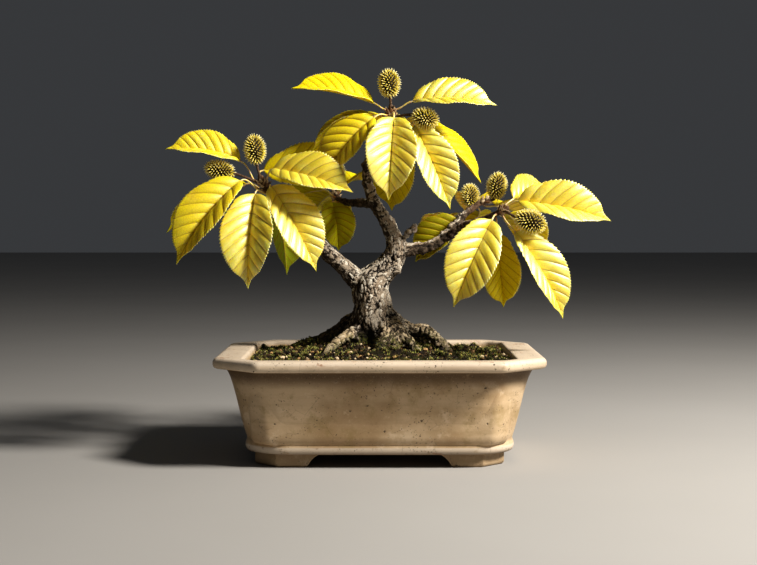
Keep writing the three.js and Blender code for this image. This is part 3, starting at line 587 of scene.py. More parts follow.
def blade(leaf, random):
    """A blade's points and faces, and each point's place across and along it and its distance from a vein."""
    rows, steps = VEIN_PAIRS * ROWS_PER_VEIN, len(COLUMNS)
    count = rows + 1
    row = np.arange(count)
    s = 0.0005 + 0.998 * row / rows
    t_margin = margin_at(s)
    reach = leaf.half * outline_at(t_margin)
    fullness = np.clip(outline_at(t_margin) * 1.4, 0, 1)
    phase = (row % ROWS_PER_VEIN) / ROWS_PER_VEIN
    pillow = (4 * phase * (1 - phase)) ** 0.62
    vein_step = np.linalg.norm(np.subtract(leaf.tip, leaf.base)) / VEIN_PAIRS
    vein_distance = np.minimum(phase, 1 - phase) * vein_step
    tooth = TOOTH[row % 4] * fullness
    crown, wave, wave_phase = random.uniform(0.35, 0.6), random.uniform(0.3, 0.9), random.uniform(0, 6.28)
    pleat = random.uniform(1.8, 2.2) * (1 - 0.6 * min(1.0, leaf.olive))
    tops, bottoms, across, along = [], [], [], []
    # the rib's column, then the columns on either side of it
    for way, u in [(0, 0.0)] + [(way, u) for way in (1, -1) for u in COLUMNS]:
        t = s + (t_margin - s) * u**1.18
        point, tangent, normal, side = leaf_frames(leaf, t)
        fold = radians(leaf.fold) * abs(way)
        outward = way * cos(fold) * side + sin(fold) * normal
        facing = cos(fold) * normal - way * sin(fold) * side
        distance = reach * u
        lift = reach * crown / 8 * 4 * u * (1 - u)
        lift += pleat * pillow * fullness * np.interp(u, [0, 0.05, 0.25, 0.75, 1], [0, 0.35, 1, 0.9, 0.3])
        lift += wave * u**2 * fullness * np.sin(2 * pi * 2.3 * t + wave_phase + way)
        lift -= 0.3 * (u == 0)
        if u > 0.9:
            distance = distance + (tooth - 0.5) * 1.3 * (0.15 if u < 1 else 1.0)
        place = point + outward * distance[:, None] + facing * lift[:, None]
        if u == 1:
            place = place + tangent * (tooth * 0.35)[:, None]
        tops.append(place + facing * BLADE_THICKNESS / 2)
        bottoms.append(place - facing * BLADE_THICKNESS / 2)
        across.append(np.full(count, u))
        along.append(t)
    size = count * len(tops)
    faces = []
    for way, first in ((1, 1), (-1, 1 + steps)):
        columns = [c * count for c in (0, *range(first, first + steps))]
        edge = columns[-1]
        pairs = list(zip(columns, columns[1:]))
        quads = []
        for a, b in pairs:
            for k in range(rows):
                quads += [(a + k, b + k, b + k + 1, a + k + 1),
                          (a + k + 1 + size, b + k + 1 + size, b + k + size, a + k + size)]
        quads += [(edge + k, edge + k + size, edge + k + 1 + size, edge + k + 1) for k in range(rows)]
        for a, b in pairs:
            quads += [(a, a + size, b + size, b), (b + rows, b + rows + size, a + rows + size, a + rows)]
        faces += [quad[::way] for quad in quads]
    veins = np.tile(vein_distance, 2 * len(tops))
    return np.concatenate(tops + bottoms), faces, np.concatenate(across * 2), np.concatenate(along * 2), veins


def leaf_piece(name, leaf, material, seed):
    heap = Heap("across", "along", "vein", "olive", "part", "stalk", "lime")
    points, faces, across, along, veins = blade(leaf, np.random.default_rng(seed))
    heap.add(points, faces, across=across, along=along, vein=veins, olive=leaf.olive, lime=float(name == LIME_LEAF))
    limb_centre, limb_way, limb_radius = seat_on(leaf.limb, leaf.back)
    start, tangent = (item[0] for item in leaf_frames(leaf, [0.0])[:2])
    away = start - limb_centre
    away = unit(away - limb_way * (away @ limb_way))
    seat = limb_centre + away * limb_radius * 0.8
    pull = np.linalg.norm(start - seat) * 0.4
    shares = evenly(STALK_POINTS)
    stalk = bezier([seat, seat + away * pull, start - tangent * pull, start], shares)
    ribs_t = np.linspace(0.02, 0.965, RIB_POINTS)
    rib_points, _, rib_normals, _ = leaf_frames(leaf, ribs_t)
    path = np.concatenate([stalk, rib_points - 0.55 * rib_normals])
    radii = np.concatenate([np.interp(shares, [0, 0.12, 0.5, 1], [1.4, 0.9, 0.76, 0.86]),
                            np.interp(ribs_t, [0, 0.15, 0.6, 1], [0.84, 0.66, 0.42, 0.16])])

    def ringed(on_stalk, on_rib):
        """Values for the tube's rings and its two ends, from those along the stalk and the rib."""
        data = np.repeat([*(on_stalk + np.zeros(STALK_POINTS)), *(on_rib + np.zeros(RIB_POINTS))], STALK_SIDES)
        return [*data, data[0], data[-1]]

    heap.add(*tube(path, radii, STALK_SIDES), part=ringed(1.0, 0.5), along=ringed(0.0, ribs_t),
             stalk=ringed(shares, 1.0), vein=9.0, olive=leaf.olive)
    return heap.piece(name + "_fine", material, name)


# Burs: an ellipsoid husk covered in curved spines

HUSK_INSET, HUSK_RINGS, HUSK_SIDES = 1.1, 15, 22
SPINES, GOLDEN_ANGLE = 196, 2.399963
SPINE_FACES = [(r + k, r + (k + 1) % 6, r + 6 + (k + 1) % 6, r + 6 + k) for r in (0, 6) for k in range(6)]
SPINE_FACES += [(12 + k, 12 + (k + 1) % 6, 18) for k in range(6)] + [(5, 4, 3, 2, 1, 0)]
SPINE_REACH = np.repeat([0.0, 0.3, 0.7, 1.0], [6, 6, 6, 1])


def bur_piece(name, row, material, seed):
    random = np.random.default_rng(seed)
    _, _, at, axis, (radius, half) = row
    radius, half = radius - HUSK_INSET, half - HUSK_INSET
    axis = unit(axis)
    side = unit(np.cross(axis, [0.3, 1, 0.2]))
    turn = np.stack([side, np.cross(axis, side), axis])
    heap = Heap("reach")
    lat, lon = np.meshgrid(pi * (0.02 + 0.96 * evenly(HUSK_RINGS)), round_angles(HUSK_SIDES), indexing="ij")
    husk = [radius * np.sin(lat) * np.cos(lon), radius * np.sin(lat) * np.sin(lon), -half * np.cos(lat)]
    heap.add(np.reshape(husk, (3, -1)).T @ turn + at, ring_faces(HUSK_RINGS, HUSK_SIDES))
    angles = round_angles(6)[:, None]
    for i in range(SPINES):
        height = 1 - 2 * (i + 0.5) / SPINES
        lon = i * GOLDEN_ANGLE + random.normal() * 0.05
        ring = sqrt(1 - height * height)
        ball = np.array([ring * cos(lon), ring * sin(lon), height])
        foot = ball * [radius, radius, half]
        out = unit(ball / np.array([radius, radius, half]))
        out = unit(out + random.normal(size=3) * 0.05 + [0, 0, 0.06])
        length = random.uniform(3.9, 4.8) * (1 - 0.12 * abs(height))
        bend = np.cross(out, random.normal(size=3)) * 0.06
        a = unit(np.cross(out, [0.2, 0.5, 1]))
        collar = np.cos(angles) * a + np.sin(angles) * np.cross(out, a)
        points = np.concatenate([
            foot - out * 0.5 + 0.74 * collar,
            foot + out * length * 0.3 + bend * 0.5 + 0.56 * collar,
            foot + out * length * 0.7 + bend + 0.31 * collar,
            [foot + out * length + bend * 0.6],
        ])
        heap.add(points @ turn + at, SPINE_FACES, reach=SPINE_REACH)
    return heap.piece(name + "_fine", material, name)


# Wood: tubes joined by a fine voxel skin, then bark relief

WOOD_VOXEL, QUICK_VOXEL = 0.00092, 0.0014
# How pale the bark is from each limb's start to its end, partly its own tone and partly painted shade; and how far that
# paleness holds only for its top, as painted light there
LIMB_TONES = {"trunk": (0.95, 0.9), "left": (1.05, 0.6), "leader": (1.0, 0.6), "right": (0.95, 0.5),
              "outer_right": (0.9, 0.4), "back": (0.2, 0.1)}
# How pale each root is from its start to its end: partly its own tone, partly painted shade
ROOT_TONES = {"root_front_left": (0.5, 1.3), "root_right": (0.45, 0.75), "root_left": (0.35, 0.2),
              "root_front": (0.6, 0.2), "root_fold": (0.5, 0.15), "root_front_right": (0.6, 0.35)}
TOP_LIGHTS = {"right": 1.0, "outer_right": 0.9, "leader": 0.2, "left": 0.35}
# A sample's columns: place, radius, direction, distance along, how much it is root, two directions across,
# how pale (partly painted shade), and how far only on top (painted light on the top)
PLACE, RADIUS, WAY, STEP, ROOT = slice(0, 3), 3, slice(4, 7), 7, 8
SIDE, ACROSS, TONE, TOP_LIGHT = slice(9, 12), slice(12, 15), 15, 16
PLATE_SIZE, CHIP_SIZE = 3.2, 1.5
# Middle, direction, reach, width and depth of the healed notch below the fork, and of the hollow under the
# trunk between two front roots
DENTS = (((12.5, -4.0, 184.5), (0.75, 0.0, -0.65), 4.2, 1.5, 2.6),
         ((-12.0, -19.5, 111.5), (0.1, 0.0, 1.0), 11.5, 8.0, 9.0))


def bur_stem(row):
    limb, back, at, axis, core = row
    centre, _, _ = seat_on(limb, back + 3)
    axis = unit(axis)
    end = np.array(at) - axis * (core[1] - 0.6)
    pull = np.linalg.norm(end - centre) / 3
    return bezier([centre, centre + (end - centre) * 0.3, end - axis * pull, end], evenly(15))


def wood_tubes():
    """Tubes for all the wood, and samples of their centre lines for the bark."""
    heap, samples = Heap(), []

    def take(path, radii, sides, root=0.0, tone=(1.0, 1.0), top_light=0.0):
        heap.add(*tube(path, radii, sides))
        ways = unit(np.gradient(path, axis=0))
        side = unit(np.cross([1, 0.1, 0.05], ways[0]))
        for place, radius, way, step, pale in zip(path, radii, ways, lengths_along(path),
                                                  np.linspace(*tone, len(path))):
            side = unit(side - way * (side @ way))
            samples.append([*place, radius, *way, step + 40 * len(heap.points), root, *side,
                            *np.cross(way, side), pale, top_light])

    for name, rows in LIMBS.items():
        points, sides = (90, 28) if name == "trunk" else (60, 16)
        take(*catmull_rom(rows, evenly(points)), sides, tone=LIMB_TONES[name], top_light=TOP_LIGHTS.get(name, 0.0))
    for name, rows in {**ROOTS, "root_fold": ROOT_FOLD}.items():
        take(*catmull_rom(rows, evenly(44)), 16, 1.0, ROOT_TONES.get(name, (0.7, 0.35)))
    for rows in STUBS.values():
        take(*catmull_rom(rows, evenly(16)), 14, tone=(0.9, 1.8))
    for limb, back, way, length in BUDS.values():
        centre, _, _ = seat_on(limb, back)
        for offset, scale in (((0, 0, 0), 1.0), ((0.9, 0.5, 0.2), 0.7), ((-0.6, 0.7, -0.4), 0.62)):
            direction = unit(np.array(way) + np.array(offset) * 0.5)
            share = evenly(9)
            radii = np.interp(share, [0, 0.4, 0.7, 1], [1.6, 2.0, 1.5, 0.4]) * (0.6 + 0.4 * scale)
            take(centre + share[:, None] * direction * length * scale, radii, 10, tone=(0.3, 0.3))
    for row in BURS.values():
        take(bur_stem(row), np.interp(evenly(15), [0, 0.3, 0.8, 1], [1.9, 1.5, 1.5, 2.1]), 10, tone=(0.2, 0.2))
    return heap, np.array(samples)


def wood_skin(heap):
    """One voxel skin over all the tubes, a little softened."""
    holder = linked("wood_rough", mesh_of("wood_rough", np.concatenate(heap.points), heap.faces))
    skin = holder.modifiers.new("skin", "REMESH")
    skin.mode, skin.voxel_size = "VOXEL", WOOD_VOXEL
    soften = holder.modifiers.new("soften", "SMOOTH")
    soften.factor, soften.iterations = 0.5, 4
    mesh = evaluated_mesh(holder)
    bpy.data.objects.remove(holder)
    return mesh


def wood_piece(material):
    """The wood, and the places and normals where moss grows on it."""
    heap, samples = wood_tubes()
    mesh = wood_skin(heap)
    count = len(mesh.vertices)
    points, normals = np.empty(count * 3), np.empty(count * 3)
    mesh.vertices.foreach_get("co", points)
    mesh.vertex_normals.foreach_get("vector", normals)
    points, normals = (points.reshape(-1, 3) - OFFSET) * 1000, normals.reshape(-1, 3)
    nearest, blends = [], []
    for i in range(0, count, 2000):
        depth = np.linalg.norm(points[i:i + 2000, None] - samples[None, :, PLACE], axis=2) - samples[:, RADIUS]
        nearest.append(np.argmin(depth, axis=1))
        weight = np.exp(-(depth - depth.min(axis=1, keepdims=True)) / 2.2)
        blends.append(weight @ samples[:, [RADIUS, ROOT, TONE, TOP_LIGHT]] / weight.sum(axis=1, keepdims=True))
    near = samples[np.concatenate(nearest)]
    girth, root, tone, top_light = np.concatenate(blends).T
    from_core = points - near[:, PLACE]
    on_way, on_side, on_across = ((from_core * near[:, c]).sum(axis=1) for c in (WAY, SIDE, ACROSS))
    along = near[:, STEP] + on_way
    # bark grows in long plates, so its pattern is drawn out along each limb
    grown = np.column_stack([on_side, on_across, along * 0.62])
    strength = np.minimum(1.0, girth / 14) ** 0.85
    jointed = smoothstep(10, 6, girth) * smoothstep(2.2, 3.2, girth) * (1 - root)
    fissure_and_shade, shift, plate, joint = (np.zeros(count) for _ in range(4))
    for i in range(count):
        place, local = Vector(points[i]), Vector(grown[i])
        warp = noise.noise_vector(local * 0.22) * 1.5
        gaps, cells = noise.voronoi((local + warp) / PLATE_SIZE)
        crack = 1 - min(1.0, (gaps[1] - gaps[0]) / 0.24)
        chips, _ = noise.voronoi((local + warp * 0.6) / CHIP_SIZE)
        chip = 1 - min(1.0, (chips[1] - chips[0]) / 0.3)
        level = noise.noise(cells[0] * 3.1)
        deep = min(1.0, max(0.0, (noise.noise(local * 0.13 + Vector((5, 1, 8))) + 0.3) / 0.6))
        ridge = noise.noise(Vector((local.x * 0.3, local.y * 0.3, local.z * 0.16)))
        ring = sin(along[i] * 1.3 + 10 * noise.noise(place * 0.1))
        groove = max(0.0, -ring - 0.4) / 0.6 * root[i] * min(1.0, max(0.0, 0.5 + 2.2 * noise.noise(place * 0.2)))
        lump = noise.noise(place * 0.06)
        knuckle = sin(along[i] * 0.8 + 9 * noise.noise(place * 0.11))
        joint[i] = max(0.0, -knuckle - 0.35) / 0.65 * jointed[i]
        knob = max(0.0, noise.noise(place * 0.17 + Vector((3, 7, 1))) - 0.12)
        force = strength[i]
        shift[i] = (force * (-crack * (0.35 + 1.4 * deep) - 0.35 * chip + 0.5 * level + 0.9 * ridge + 1.4 * lump)
                    + jointed[i] * (0.25 * knuckle - 0.3 * joint[i] + 2.8 * knob)
                    + root[i] * (0.25 * ring - 0.6 * groove + 2.0 * knob) * min(1.0, girth[i] / 5))
        fissure_and_shade[i] = min(1.0, crack**1.5 * (0.2 + 0.75 * deep) * (0.3 + force) + 0.9 * groove
                         + 0.3 * chip**3 * force + 0.4 * joint[i])
        plate[i] = 0.5 + 0.45 * level + 0.2 * ridge - 0.3 * crack
    for centre, way, reach, width, depth in DENTS:
        offset = points - centre
        on_way = offset @ unit(way)
        off_way = np.linalg.norm(offset - on_way[:, None] * unit(way), axis=1)
        dent = np.exp(-((on_way / reach) ** 2) - (off_way / width) ** 2)
        shift -= depth * dent
        # painted shade: the dents are painted as dark as the fissures
        fissure_and_shade = np.maximum(fissure_and_shade, smoothstep(0.3, 0.65, dent))
    bare = smoothstep(0.6, 0.85, tone) * root
    mossy = smoothstep(124, 99, points[:, 2]) * np.array([0.75 + 0.5 * noise.noise(Vector(q * 0.06)) for q in points])
    mossy *= 1 - 0.6 * smoothstep(0.2, 0.8, normals[:, 2]) * smoothstep(0.65, 0.85, tone) * root
    # painted shade on the undersides; where the top light share holds, the paleness is painted light on the tops only
    lit = 0.35 + 0.65 * smoothstep(-0.5, 0.35, normals[:, 2] * 0.9 + 0.25)
    pale = tone * (lit * (1 - top_light) + top_light * smoothstep(0.4, 0.8, normals[:, 2])) * (1 - 0.5 * joint)
    # painted shade on the sides that face -x
    pale *= 1 - 0.6 * smoothstep(0.25, 0.8, -normals[:, 0]) * (1 - 0.6 * root)
    # painted shade on the lower trunk's -x side
    painted_left_shade = smoothstep(-5, -15, points[:, 0]) * smoothstep(136, 120, points[:, 2]) * (1 - bare)
    pale *= 1 - 0.75 * painted_left_shade
    points += normals * shift[:, None]
    mesh.vertices.foreach_set("co", to_row(points).ravel())
    mesh.name = "wood"
    dress("wood", mesh, material, "tree", {"girth": girth, "fissure_and_shade": fissure_and_shade, "root": root,
                                                   "mossy": mossy, "plate": plate, "pale": pale, "grown": grown})
    mossed = (mossy > 0.45) & (points[:, 2] < 118) & (normals[:, 2] > -0.1)
    return points[mossed], normals[mossed]


def scale_pieces(material):
    """Bud scales in a whorl at the end of each leafy shoot."""
    heap = Heap("shade")
    random = np.random.default_rng(41)
    lat, lon = (grid.ravel() for grid in np.meshgrid(np.linspace(-1, 1, 7), round_angles(8), indexing="ij"))
    swell = (np.sqrt(np.clip(1 - lat**2, 0, 1)) * (1 - 0.35 * lat) + 0.02)[:, None]
    lat, lon = lat[:, None], lon[:, None]
    for limb, back, count in (("leader", 3, 26), ("left", 3, 24), ("outer_right", 2, 24), ("right", 2, 12),
                              ("back", 2, 12)):
        for i in range(count):
            centre, way, radius = seat_on(limb, back + 9 * i / count)
            side = unit(np.cross(way, [0.3, 1, 0.2]))
            turn = i * 2.4
            out = side * cos(turn) + np.cross(way, side) * sin(turn)
            lean = unit(way * random.uniform(0.7, 1.3) + out * random.uniform(0.6, 1.1))
            flat = unit(out - lean * (out @ lean))
            length, width = random.uniform(1.9, 3.1), random.uniform(1.1, 1.7)
            middle = centre + out * (radius + 1.0) + lean * length * 0.5
            points = (middle + lat * lean * length + swell * np.cos(lon) * np.cross(lean, flat) * width
                      + swell * np.sin(lon) * flat * 0.45)
            heap.add(points, ring_faces(7, 8), shade=random.random())
    heap.piece("bud_scales", material, "tree")


# Pot


def rounded_ring(half_length, half_depth, chamfer, rounding, z, arc=6, straight=4):
    """A rectangle with chamfered, rounded corners, anticlockwise from above."""
    corners = []
    for sx, sy in ((1, -1), (1, 1), (-1, 1), (-1, -1)):
        along_depth = (sx * half_length, sy * (half_depth - chamfer))
        along_length = (sx * (half_length - chamfer), sy * half_depth)
        corners += [along_length, along_depth] if sx * sy < 0 else [along_depth, along_length]
    corners = np.array(corners, float)
    rounding = min(rounding, chamfer * 0.62)
    arcs = []
    for i, here in enumerate(corners):
        start = here + unit(corners[i - 1] - here) * rounding
        end = here + unit(corners[(i + 1) % 8] - here) * rounding
        w = np.linspace(0, 1, arc + 1)[:, None]
        arcs.append((1 - w) ** 2 * start + 2 * w * (1 - w) * here + w**2 * end)
    ring = []
    for i, points in enumerate(arcs):
        ring.extend(points)
        ahead = arcs[(i + 1) % 8][0]
        ring.extend(points[-1] + (ahead - points[-1]) * k / straight for k in range(1, straight))
    return np.column_stack([ring, np.full(len(ring), float(z))])


def outer_ring(inset, z):
    chamfer = RIM_CHAMFER - inset * (2 - sqrt(2))
    rounding = float(np.interp(inset, [4, 10, 15], [4.5, 6, 16]))
    return rounded_ring(RIM_LENGTH / 2 - inset, RIM_DEPTH / 2 - inset, chamfer, rounding, z)


def inner_ring(z, grow=0.0):
    inset = WALL_TAPER * (POT_HEIGHT - z) / POT_HEIGHT - grow
    return rounded_ring(OPENING_LENGTH / 2 - inset, OPENING_DEPTH / 2 - inset, OPENING_CHAMFER, 5, z)


# Inset and height of each ring, from the floor's edge up over the bead and the lip
OUTER_PROFILE = [
    (36, 12), (32.6, 12), (30.3, 12.2), (28.7, 13.1), (27.8, 14.6), (27.4, 16.2), (27.4, 18), (27.7, 19.8), (28.3, 21.4),
    (28.8, 23), (28.6, 24.8), (27.7, 27.6), (26.2, 33), (24.4, 40), (21.9, 51), (19.1, 63), (16.7, 72), (14.6, 79),
    (13.2, 83), (12.1, 85.6), (11, 87), (9.4, 87.6), (6.4, 87.8), (3.6, 88), (1.8, 88.6), (0.6, 89.8), (0, 91.6),
    (0, 93.8), (0.5, 95.6), (1.8, 97.1), (3.6, 97.8), (5.4, 98),
]
WAVY_RINGS = slice(10, 20)


def pot_body(material):
    rings = [outer_ring(inset, z) for inset, z in OUTER_PROFILE]
    edge, mouth = rings[-1], inner_ring(POT_HEIGHT, 2.4)
    rings += [edge + (mouth - edge) * w for w in (0.3, 0.7)] + [mouth]
    rings += [inner_ring(97.8, 1.3), inner_ring(97.1, 0.5), inner_ring(95.8, 0.1)]
    rings += [inner_ring(z) for z in (92, 70, 50, 30, 25)] + [inner_ring(21.4, -1.6), inner_ring(INNER_FLOOR, -5)]
    for ring in rings[WAVY_RINGS]:
        for point in ring:
            push = 0.35 * noise.noise(Vector((point[0] * 0.02, point[1] * 0.02, point[2] * 0.03)))
            point[:2] += unit(point[:2]) * push
    points, faces = loft(rings)
    # the rim's top, the lip and the bead paler: partly wear, partly painted light
    worn = [1.0 if z > 95 else 0.6 if z > 88.5 else 1.0 if 12.5 < z < 19 else 0.0 for _, z in OUTER_PROFILE]
    worn += [0.85 if ring[0][2] > 95 else 0.0 for ring in rings[len(OUTER_PROFILE):]]
    worn = np.repeat(worn, len(edge))
    # painted shade under the lip, around the bead and at the foot of the wall, by height
    stain = np.interp(points[:, 2], [12, 15, 18, 21, 23.5, 28, 66, 72.8, 78, 81.5, 86, 87.6, 88.4],
                      [0.7, 0.25, 0.0, 0.1, 0.42, 0.05, 0.0, 0.26, 0.6, 0.83, 1.0, 1.0, 0.0])
    body = dress("pot_body", mesh_of("pot_body", points, faces), material, "pot",
                 {"worn": worn, "stain": stain})
    for x in (-DRAIN_OFFSET, DRAIN_OFFSET):
        angles = round_angles(40)
        circle = np.column_stack([x + DRAIN_RADIUS * np.cos(angles), DRAIN_RADIUS * np.sin(angles)])
        hole = loft([np.column_stack([circle, np.full(40, z)]) for z in (6.0, 28.0)])
        drill = linked("drill", mesh_of("drill", *hole))
        cut = body.modifiers.new("drain", "BOOLEAN")
        cut.operation, cut.object, cut.solver = "DIFFERENCE", drill, "EXACT"
        cut_mesh, uncut = evaluated_mesh(body), body.data
        body.modifiers.clear()
        body.data = cut_mesh
        bpy.data.meshes.remove(uncut)
        bpy.data.objects.remove(drill)
    body.data.polygons.foreach_set("use_smooth", np.ones(len(body.data.polygons), bool))
    body.data.set_sharp_from_angle(angle=radians(50))


def pot_feet(material):
    """Four L-shaped feet: rings of an inset, how far the arms' ends are cut back, and a height."""
    profile = ((2.2, 12.5, 0), (0.8, 11, 0.8), (0, 9.5, 2.6), (0, 7.6, 5.6), (0, 4.8, 8.6),
               (0, 0.8, FOOT_HEIGHT - 0.8), (0, 0, FOOT_HEIGHT + 0.8))
    heap = Heap("worn", "stain")
    for sx, sy in ((1, 1), (1, -1), (-1, 1), (-1, -1)):
        rings = []
        for inset, cut_back, z in profile:
            outer, right = -(RIM_DEPTH / 2 - 36 - inset), RIM_LENGTH / 2 - 37 - inset
            chamfer, arm = 20, 15 - inset
            outline = [(54 + cut_back, outer), (right - chamfer, outer), (right, outer + chamfer),
                       (right, -47 - cut_back), (right - arm, -47 - cut_back), (right - arm, outer + arm),
                       (54 + cut_back, outer + arm)]
            rings.append(np.array([(sx * x, sy * y, z) for x, y in outline], float)[::sx * sy])
        points, faces = loft(rings)
        # the feet a little paler, and darkened by painted shade
        heap.add(points, faces, worn=0.2, stain=np.interp(points[:, 2], [0, 12], [0.38, 0.46]))
    feet = heap.piece("pot_feet", material, "pot")
    bevel = feet.modifiers.new("rounded", "BEVEL")
    bevel.width, bevel.segments, bevel.limit_method, bevel.angle_limit = 0.0014, 3, "ANGLE", radians(24)
    feet.data.set_sharp_from_angle(angle=radians(35))


# Soil, grit and moss

GOLD = (1 + sqrt(5)) / 2
BALL = unit(np.array([(-1, GOLD, 0), (1, GOLD, 0), (-1, -GOLD, 0), (1, -GOLD, 0), (0, -1, GOLD), (0, 1, GOLD),
                      (0, -1, -GOLD), (0, 1, -GOLD), (GOLD, 0, -1), (GOLD, 0, 1), (-GOLD, 0, -1), (-GOLD, 0, 1)]))
BALL_FACES = [(0, 11, 5), (0, 5, 1), (0, 1, 7), (0, 7, 10), (0, 10, 11), (1, 5, 9), (5, 11, 4), (11, 10, 2),
              (10, 7, 6), (7, 1, 8), (3, 9, 4), (3, 4, 2), (3, 2, 6), (3, 6, 8), (3, 8, 9), (4, 9, 5), (2, 4, 11),
              (6, 2, 10), (8, 6, 7), (9, 8, 1)]


def soil_height(x, y):
    return (SOIL_EDGE_HEIGHT + SOIL_MOUND * np.exp(-((x / 78) ** 2) - ((y - TRUNK_SET_BACK) / 72) ** 2)
            + 0.8 * np.sin(x / 9 + 1) * np.sin(y / 8))


def soil_relief(x, y):
    place = Vector((x, y, 0))
    clump = float(smoothstep(0.0, 0.38, noise.noise(Vector((x * 0.1, y * 0.1, 7)))))
    return (2.4 * clump - 0.8 + 0.9 * noise.noise(place * 0.12) + 0.9 * noise.noise(place * 0.35)
            + 0.6 * noise.noise(place * 0.9))


def soil_spots(random, count, spread):
    """Seeded places on the soil, clear of the pot's chamfers, with the height there."""
    half_x, half_y = OPENING_LENGTH / 2 - 3, OPENING_DEPTH / 2 - 3
    made = []
    while len(made) < count:
        x, y = random.uniform(-half_x, half_x), random.uniform(-half_y, half_y)
        if abs(x) + abs(y) > half_x + half_y - OPENING_CHAMFER or random.random() > spread(x, y):
            continue
        made.append((x, y, soil_height(x, y) + soil_relief(x, y)))
    return made


def add_moss(heap, random, place, up, size, shade):
    """One blade of moss, which leans away from the upright of its place."""
    way = unit(np.array(up) * random.uniform(0.45, 1.1) + random.normal(size=3) * 0.6)
    a = unit(np.cross(way, [0.3, 0.2, 1.0]))
    b = np.cross(way, a)
    root = place + a * random.normal() * 0.7 + b * random.normal() * 0.7
    width, length = 0.34 * size, random.uniform(1.8, 3.6) * size
    points = [root + a * width, root - a * width * 0.5 + b * width * 0.87, root - a * width * 0.5 - b * width * 0.87,
              root + way * length]
    heap.add(points, [(0, 1, 3), (1, 2, 3), (2, 0, 3), (2, 1, 0)], shade=shade, reach=[0, 0, 0, 1.0])


def stony(x, y):
    return 0.45 + 0.55 * float(smoothstep(40, -60, x + 0.5 * y + 40 * noise.noise(Vector((x, y, 3)) * 0.03)))


def mossed_share(x, y):
    return 0.06 + 0.94 * float(smoothstep(-0.02, 0.22, noise.noise(Vector((x * 0.1, y * 0.1, 7)))))


def soil_pieces(bed, grit, moss, mossed):
    edge = inner_ring(SOIL_EDGE_HEIGHT - 1, -0.3)
    rings = [inner_ring(INNER_FLOOR + 8, -1.2), inner_ring(SOIL_EDGE_HEIGHT - 4, -0.6), edge]
    for share in np.linspace(0.985, 0.03, 66):
        ring = edge * [share, share, 1]
        rise = min(1, (1 - share) * 12 + 0.3)
        ring[:, 2] = [soil_height(x, y) + soil_relief(x, y) * rise for x, y, _ in ring]
        rings.append(ring)
    dress("soil_bed", mesh_of("soil_bed", *loft(rings)), bed, "soil", {})

    random = np.random.default_rng(5)
    heap = Heap("shade")
    for x, y, z in soil_spots(random, 4200, stony):
        size = random.choice([0.7, 1.0, 1.5, 2.1], p=[0.4, 0.32, 0.19, 0.09]) * random.uniform(0.8, 1.25)
        stone = BALL * (size * random.uniform(0.7, 1.2, (12, 1))) * random.uniform(0.7, 1.25, 3)
        heap.add(stone + (x, y, z + size * 0.25), BALL_FACES, shade=random.random() ** 2.0)
    heap.piece("soil_grit", grit, "soil", smooth=False)

    heap = Heap("shade", "reach")
    for x, y, z in soil_spots(random, 2600, mossed_share):
        shade = np.clip(random.normal(0.45, 0.28), 0, 1)
        size = random.uniform(0.7, 1.25)
        for _ in range(9):
            add_moss(heap, random, np.array([x, y, z - 0.4]), (0, 0, 1), size, shade)
    heap.piece("moss_tufts", moss, "soil", smooth=False)

    heap = Heap("shade", "reach")
    places, normals = mossed
    for i in random.choice(len(places), size=min(len(places), 1500), replace=False):
        if noise.noise(Vector(places[i] * 0.11)) < random.uniform(-0.3, 0.25):
            continue
        shade = np.clip(random.normal(0.4, 0.25), 0, 1)
        for _ in range(6):
            add_moss(heap, random, places[i], unit(normals[i] + [0, 0, 0.5]), random.uniform(0.55, 0.95), shade)
    heap.piece("root_moss", moss, "tree", smooth=False)


# Making the object

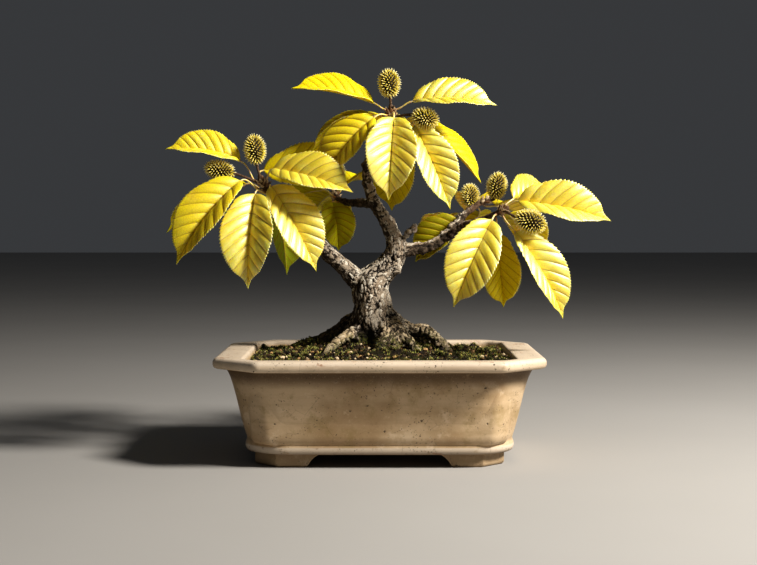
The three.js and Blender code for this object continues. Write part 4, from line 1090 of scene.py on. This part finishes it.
# sunlit, half-lit and shaded copies of the leaf material, with less gloss and coat in shade: painted light and shade,
# picked by each leaf's olive and shade value
sunlit = leaf_material("leaf_blade", 1.0, 1.0)
half_lit = leaf_material("leaf_blade_golden", 0.5, 0.2)
shaded = leaf_material("leaf_blade_shaded", 0.2, 0.0)
seed = 100
for (shoot, limb), rows in LEAVES.items():
    for number, row in enumerate(rows, 1):
        leaf = Leaf(limb, *row)
        look = shaded if leaf.olive > 0.5 else half_lit if leaf.olive > 0.15 else sunlit
        leaf_piece(f"leaf_{shoot}_{number}", leaf, look, seed)
        seed += 1
bur_look = bur_material()
for seed, (name, row) in enumerate(BURS.items(), 300):
    bur_piece(name, row, bur_look, seed)
mossed_places = wood_piece(bark_material())
scale_pieces(scale_material())
stoneware = pot_material()
pot_body(stoneware)
pot_feet(stoneware)
soil_pieces(soil_material(), grit_material(), moss_material(), mossed_places)
plastic = mesh_material()
for name in ("drain_mesh_left", "drain_mesh_right"):
    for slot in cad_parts[name].material_slots:
        slot.material = plastic

# Floor, lights and camera

floor_mesh = bpy.data.meshes.new("floor")
floor_mesh.from_pydata([(-6, -6, 0), (6, -6, 0), (6, 8, 0), (-6, 8, 0)], [], [(0, 1, 2, 3)])
floor_mesh.materials.append(floor_material())
linked("floor", floor_mesh)

for name, place, size, power, colour in (("key", (1.2, -0.66, 1.27), 0.4, 55, (1.0, 0.95, 0.88)),
                                         ("fill", (0.7, -1.7, 0.6), 1.2, 0.42, (1.0, 0.87, 0.7))):
    light = bpy.data.lights.new(name, "AREA")
    light.shape, light.size, light.energy, light.color = "DISK", size, power, colour
    lamp = linked(name, light)
    lamp.location = place
    lamp.rotation_euler = (Vector((0, 0, 0.18)) - Vector(place)).to_track_quat("-Z", "Y").to_euler()

world = bpy.data.worlds.new("studio")
world.use_nodes = True
backdrop = world.node_tree.nodes["Background"].inputs
backdrop["Color"].default_value, backdrop["Strength"].default_value = (0.59, 0.615, 0.655, 1), 0.08
bpy.context.scene.world = world

FOCAL_PIXELS, PICTURE_WIDTH = 1456, 757
lens = bpy.data.cameras.new("photo_angle")
lens.sensor_width, lens.sensor_fit, lens.lens = 36, "HORIZONTAL", 36 * FOCAL_PIXELS / PICTURE_WIDTH
lens.clip_start, lens.clip_end = 0.05, 40
camera = linked("photo_angle", lens)
camera.location = to_row([-1, -1378, 223])
camera.rotation_euler = (radians(90 - 2.54), 0, 0)
bpy.context.scene.camera = camera
bpy.context.scene.view_settings.view_transform = "Standard"
bpy.context.scene.view_settings.look = "Medium High Contrast"
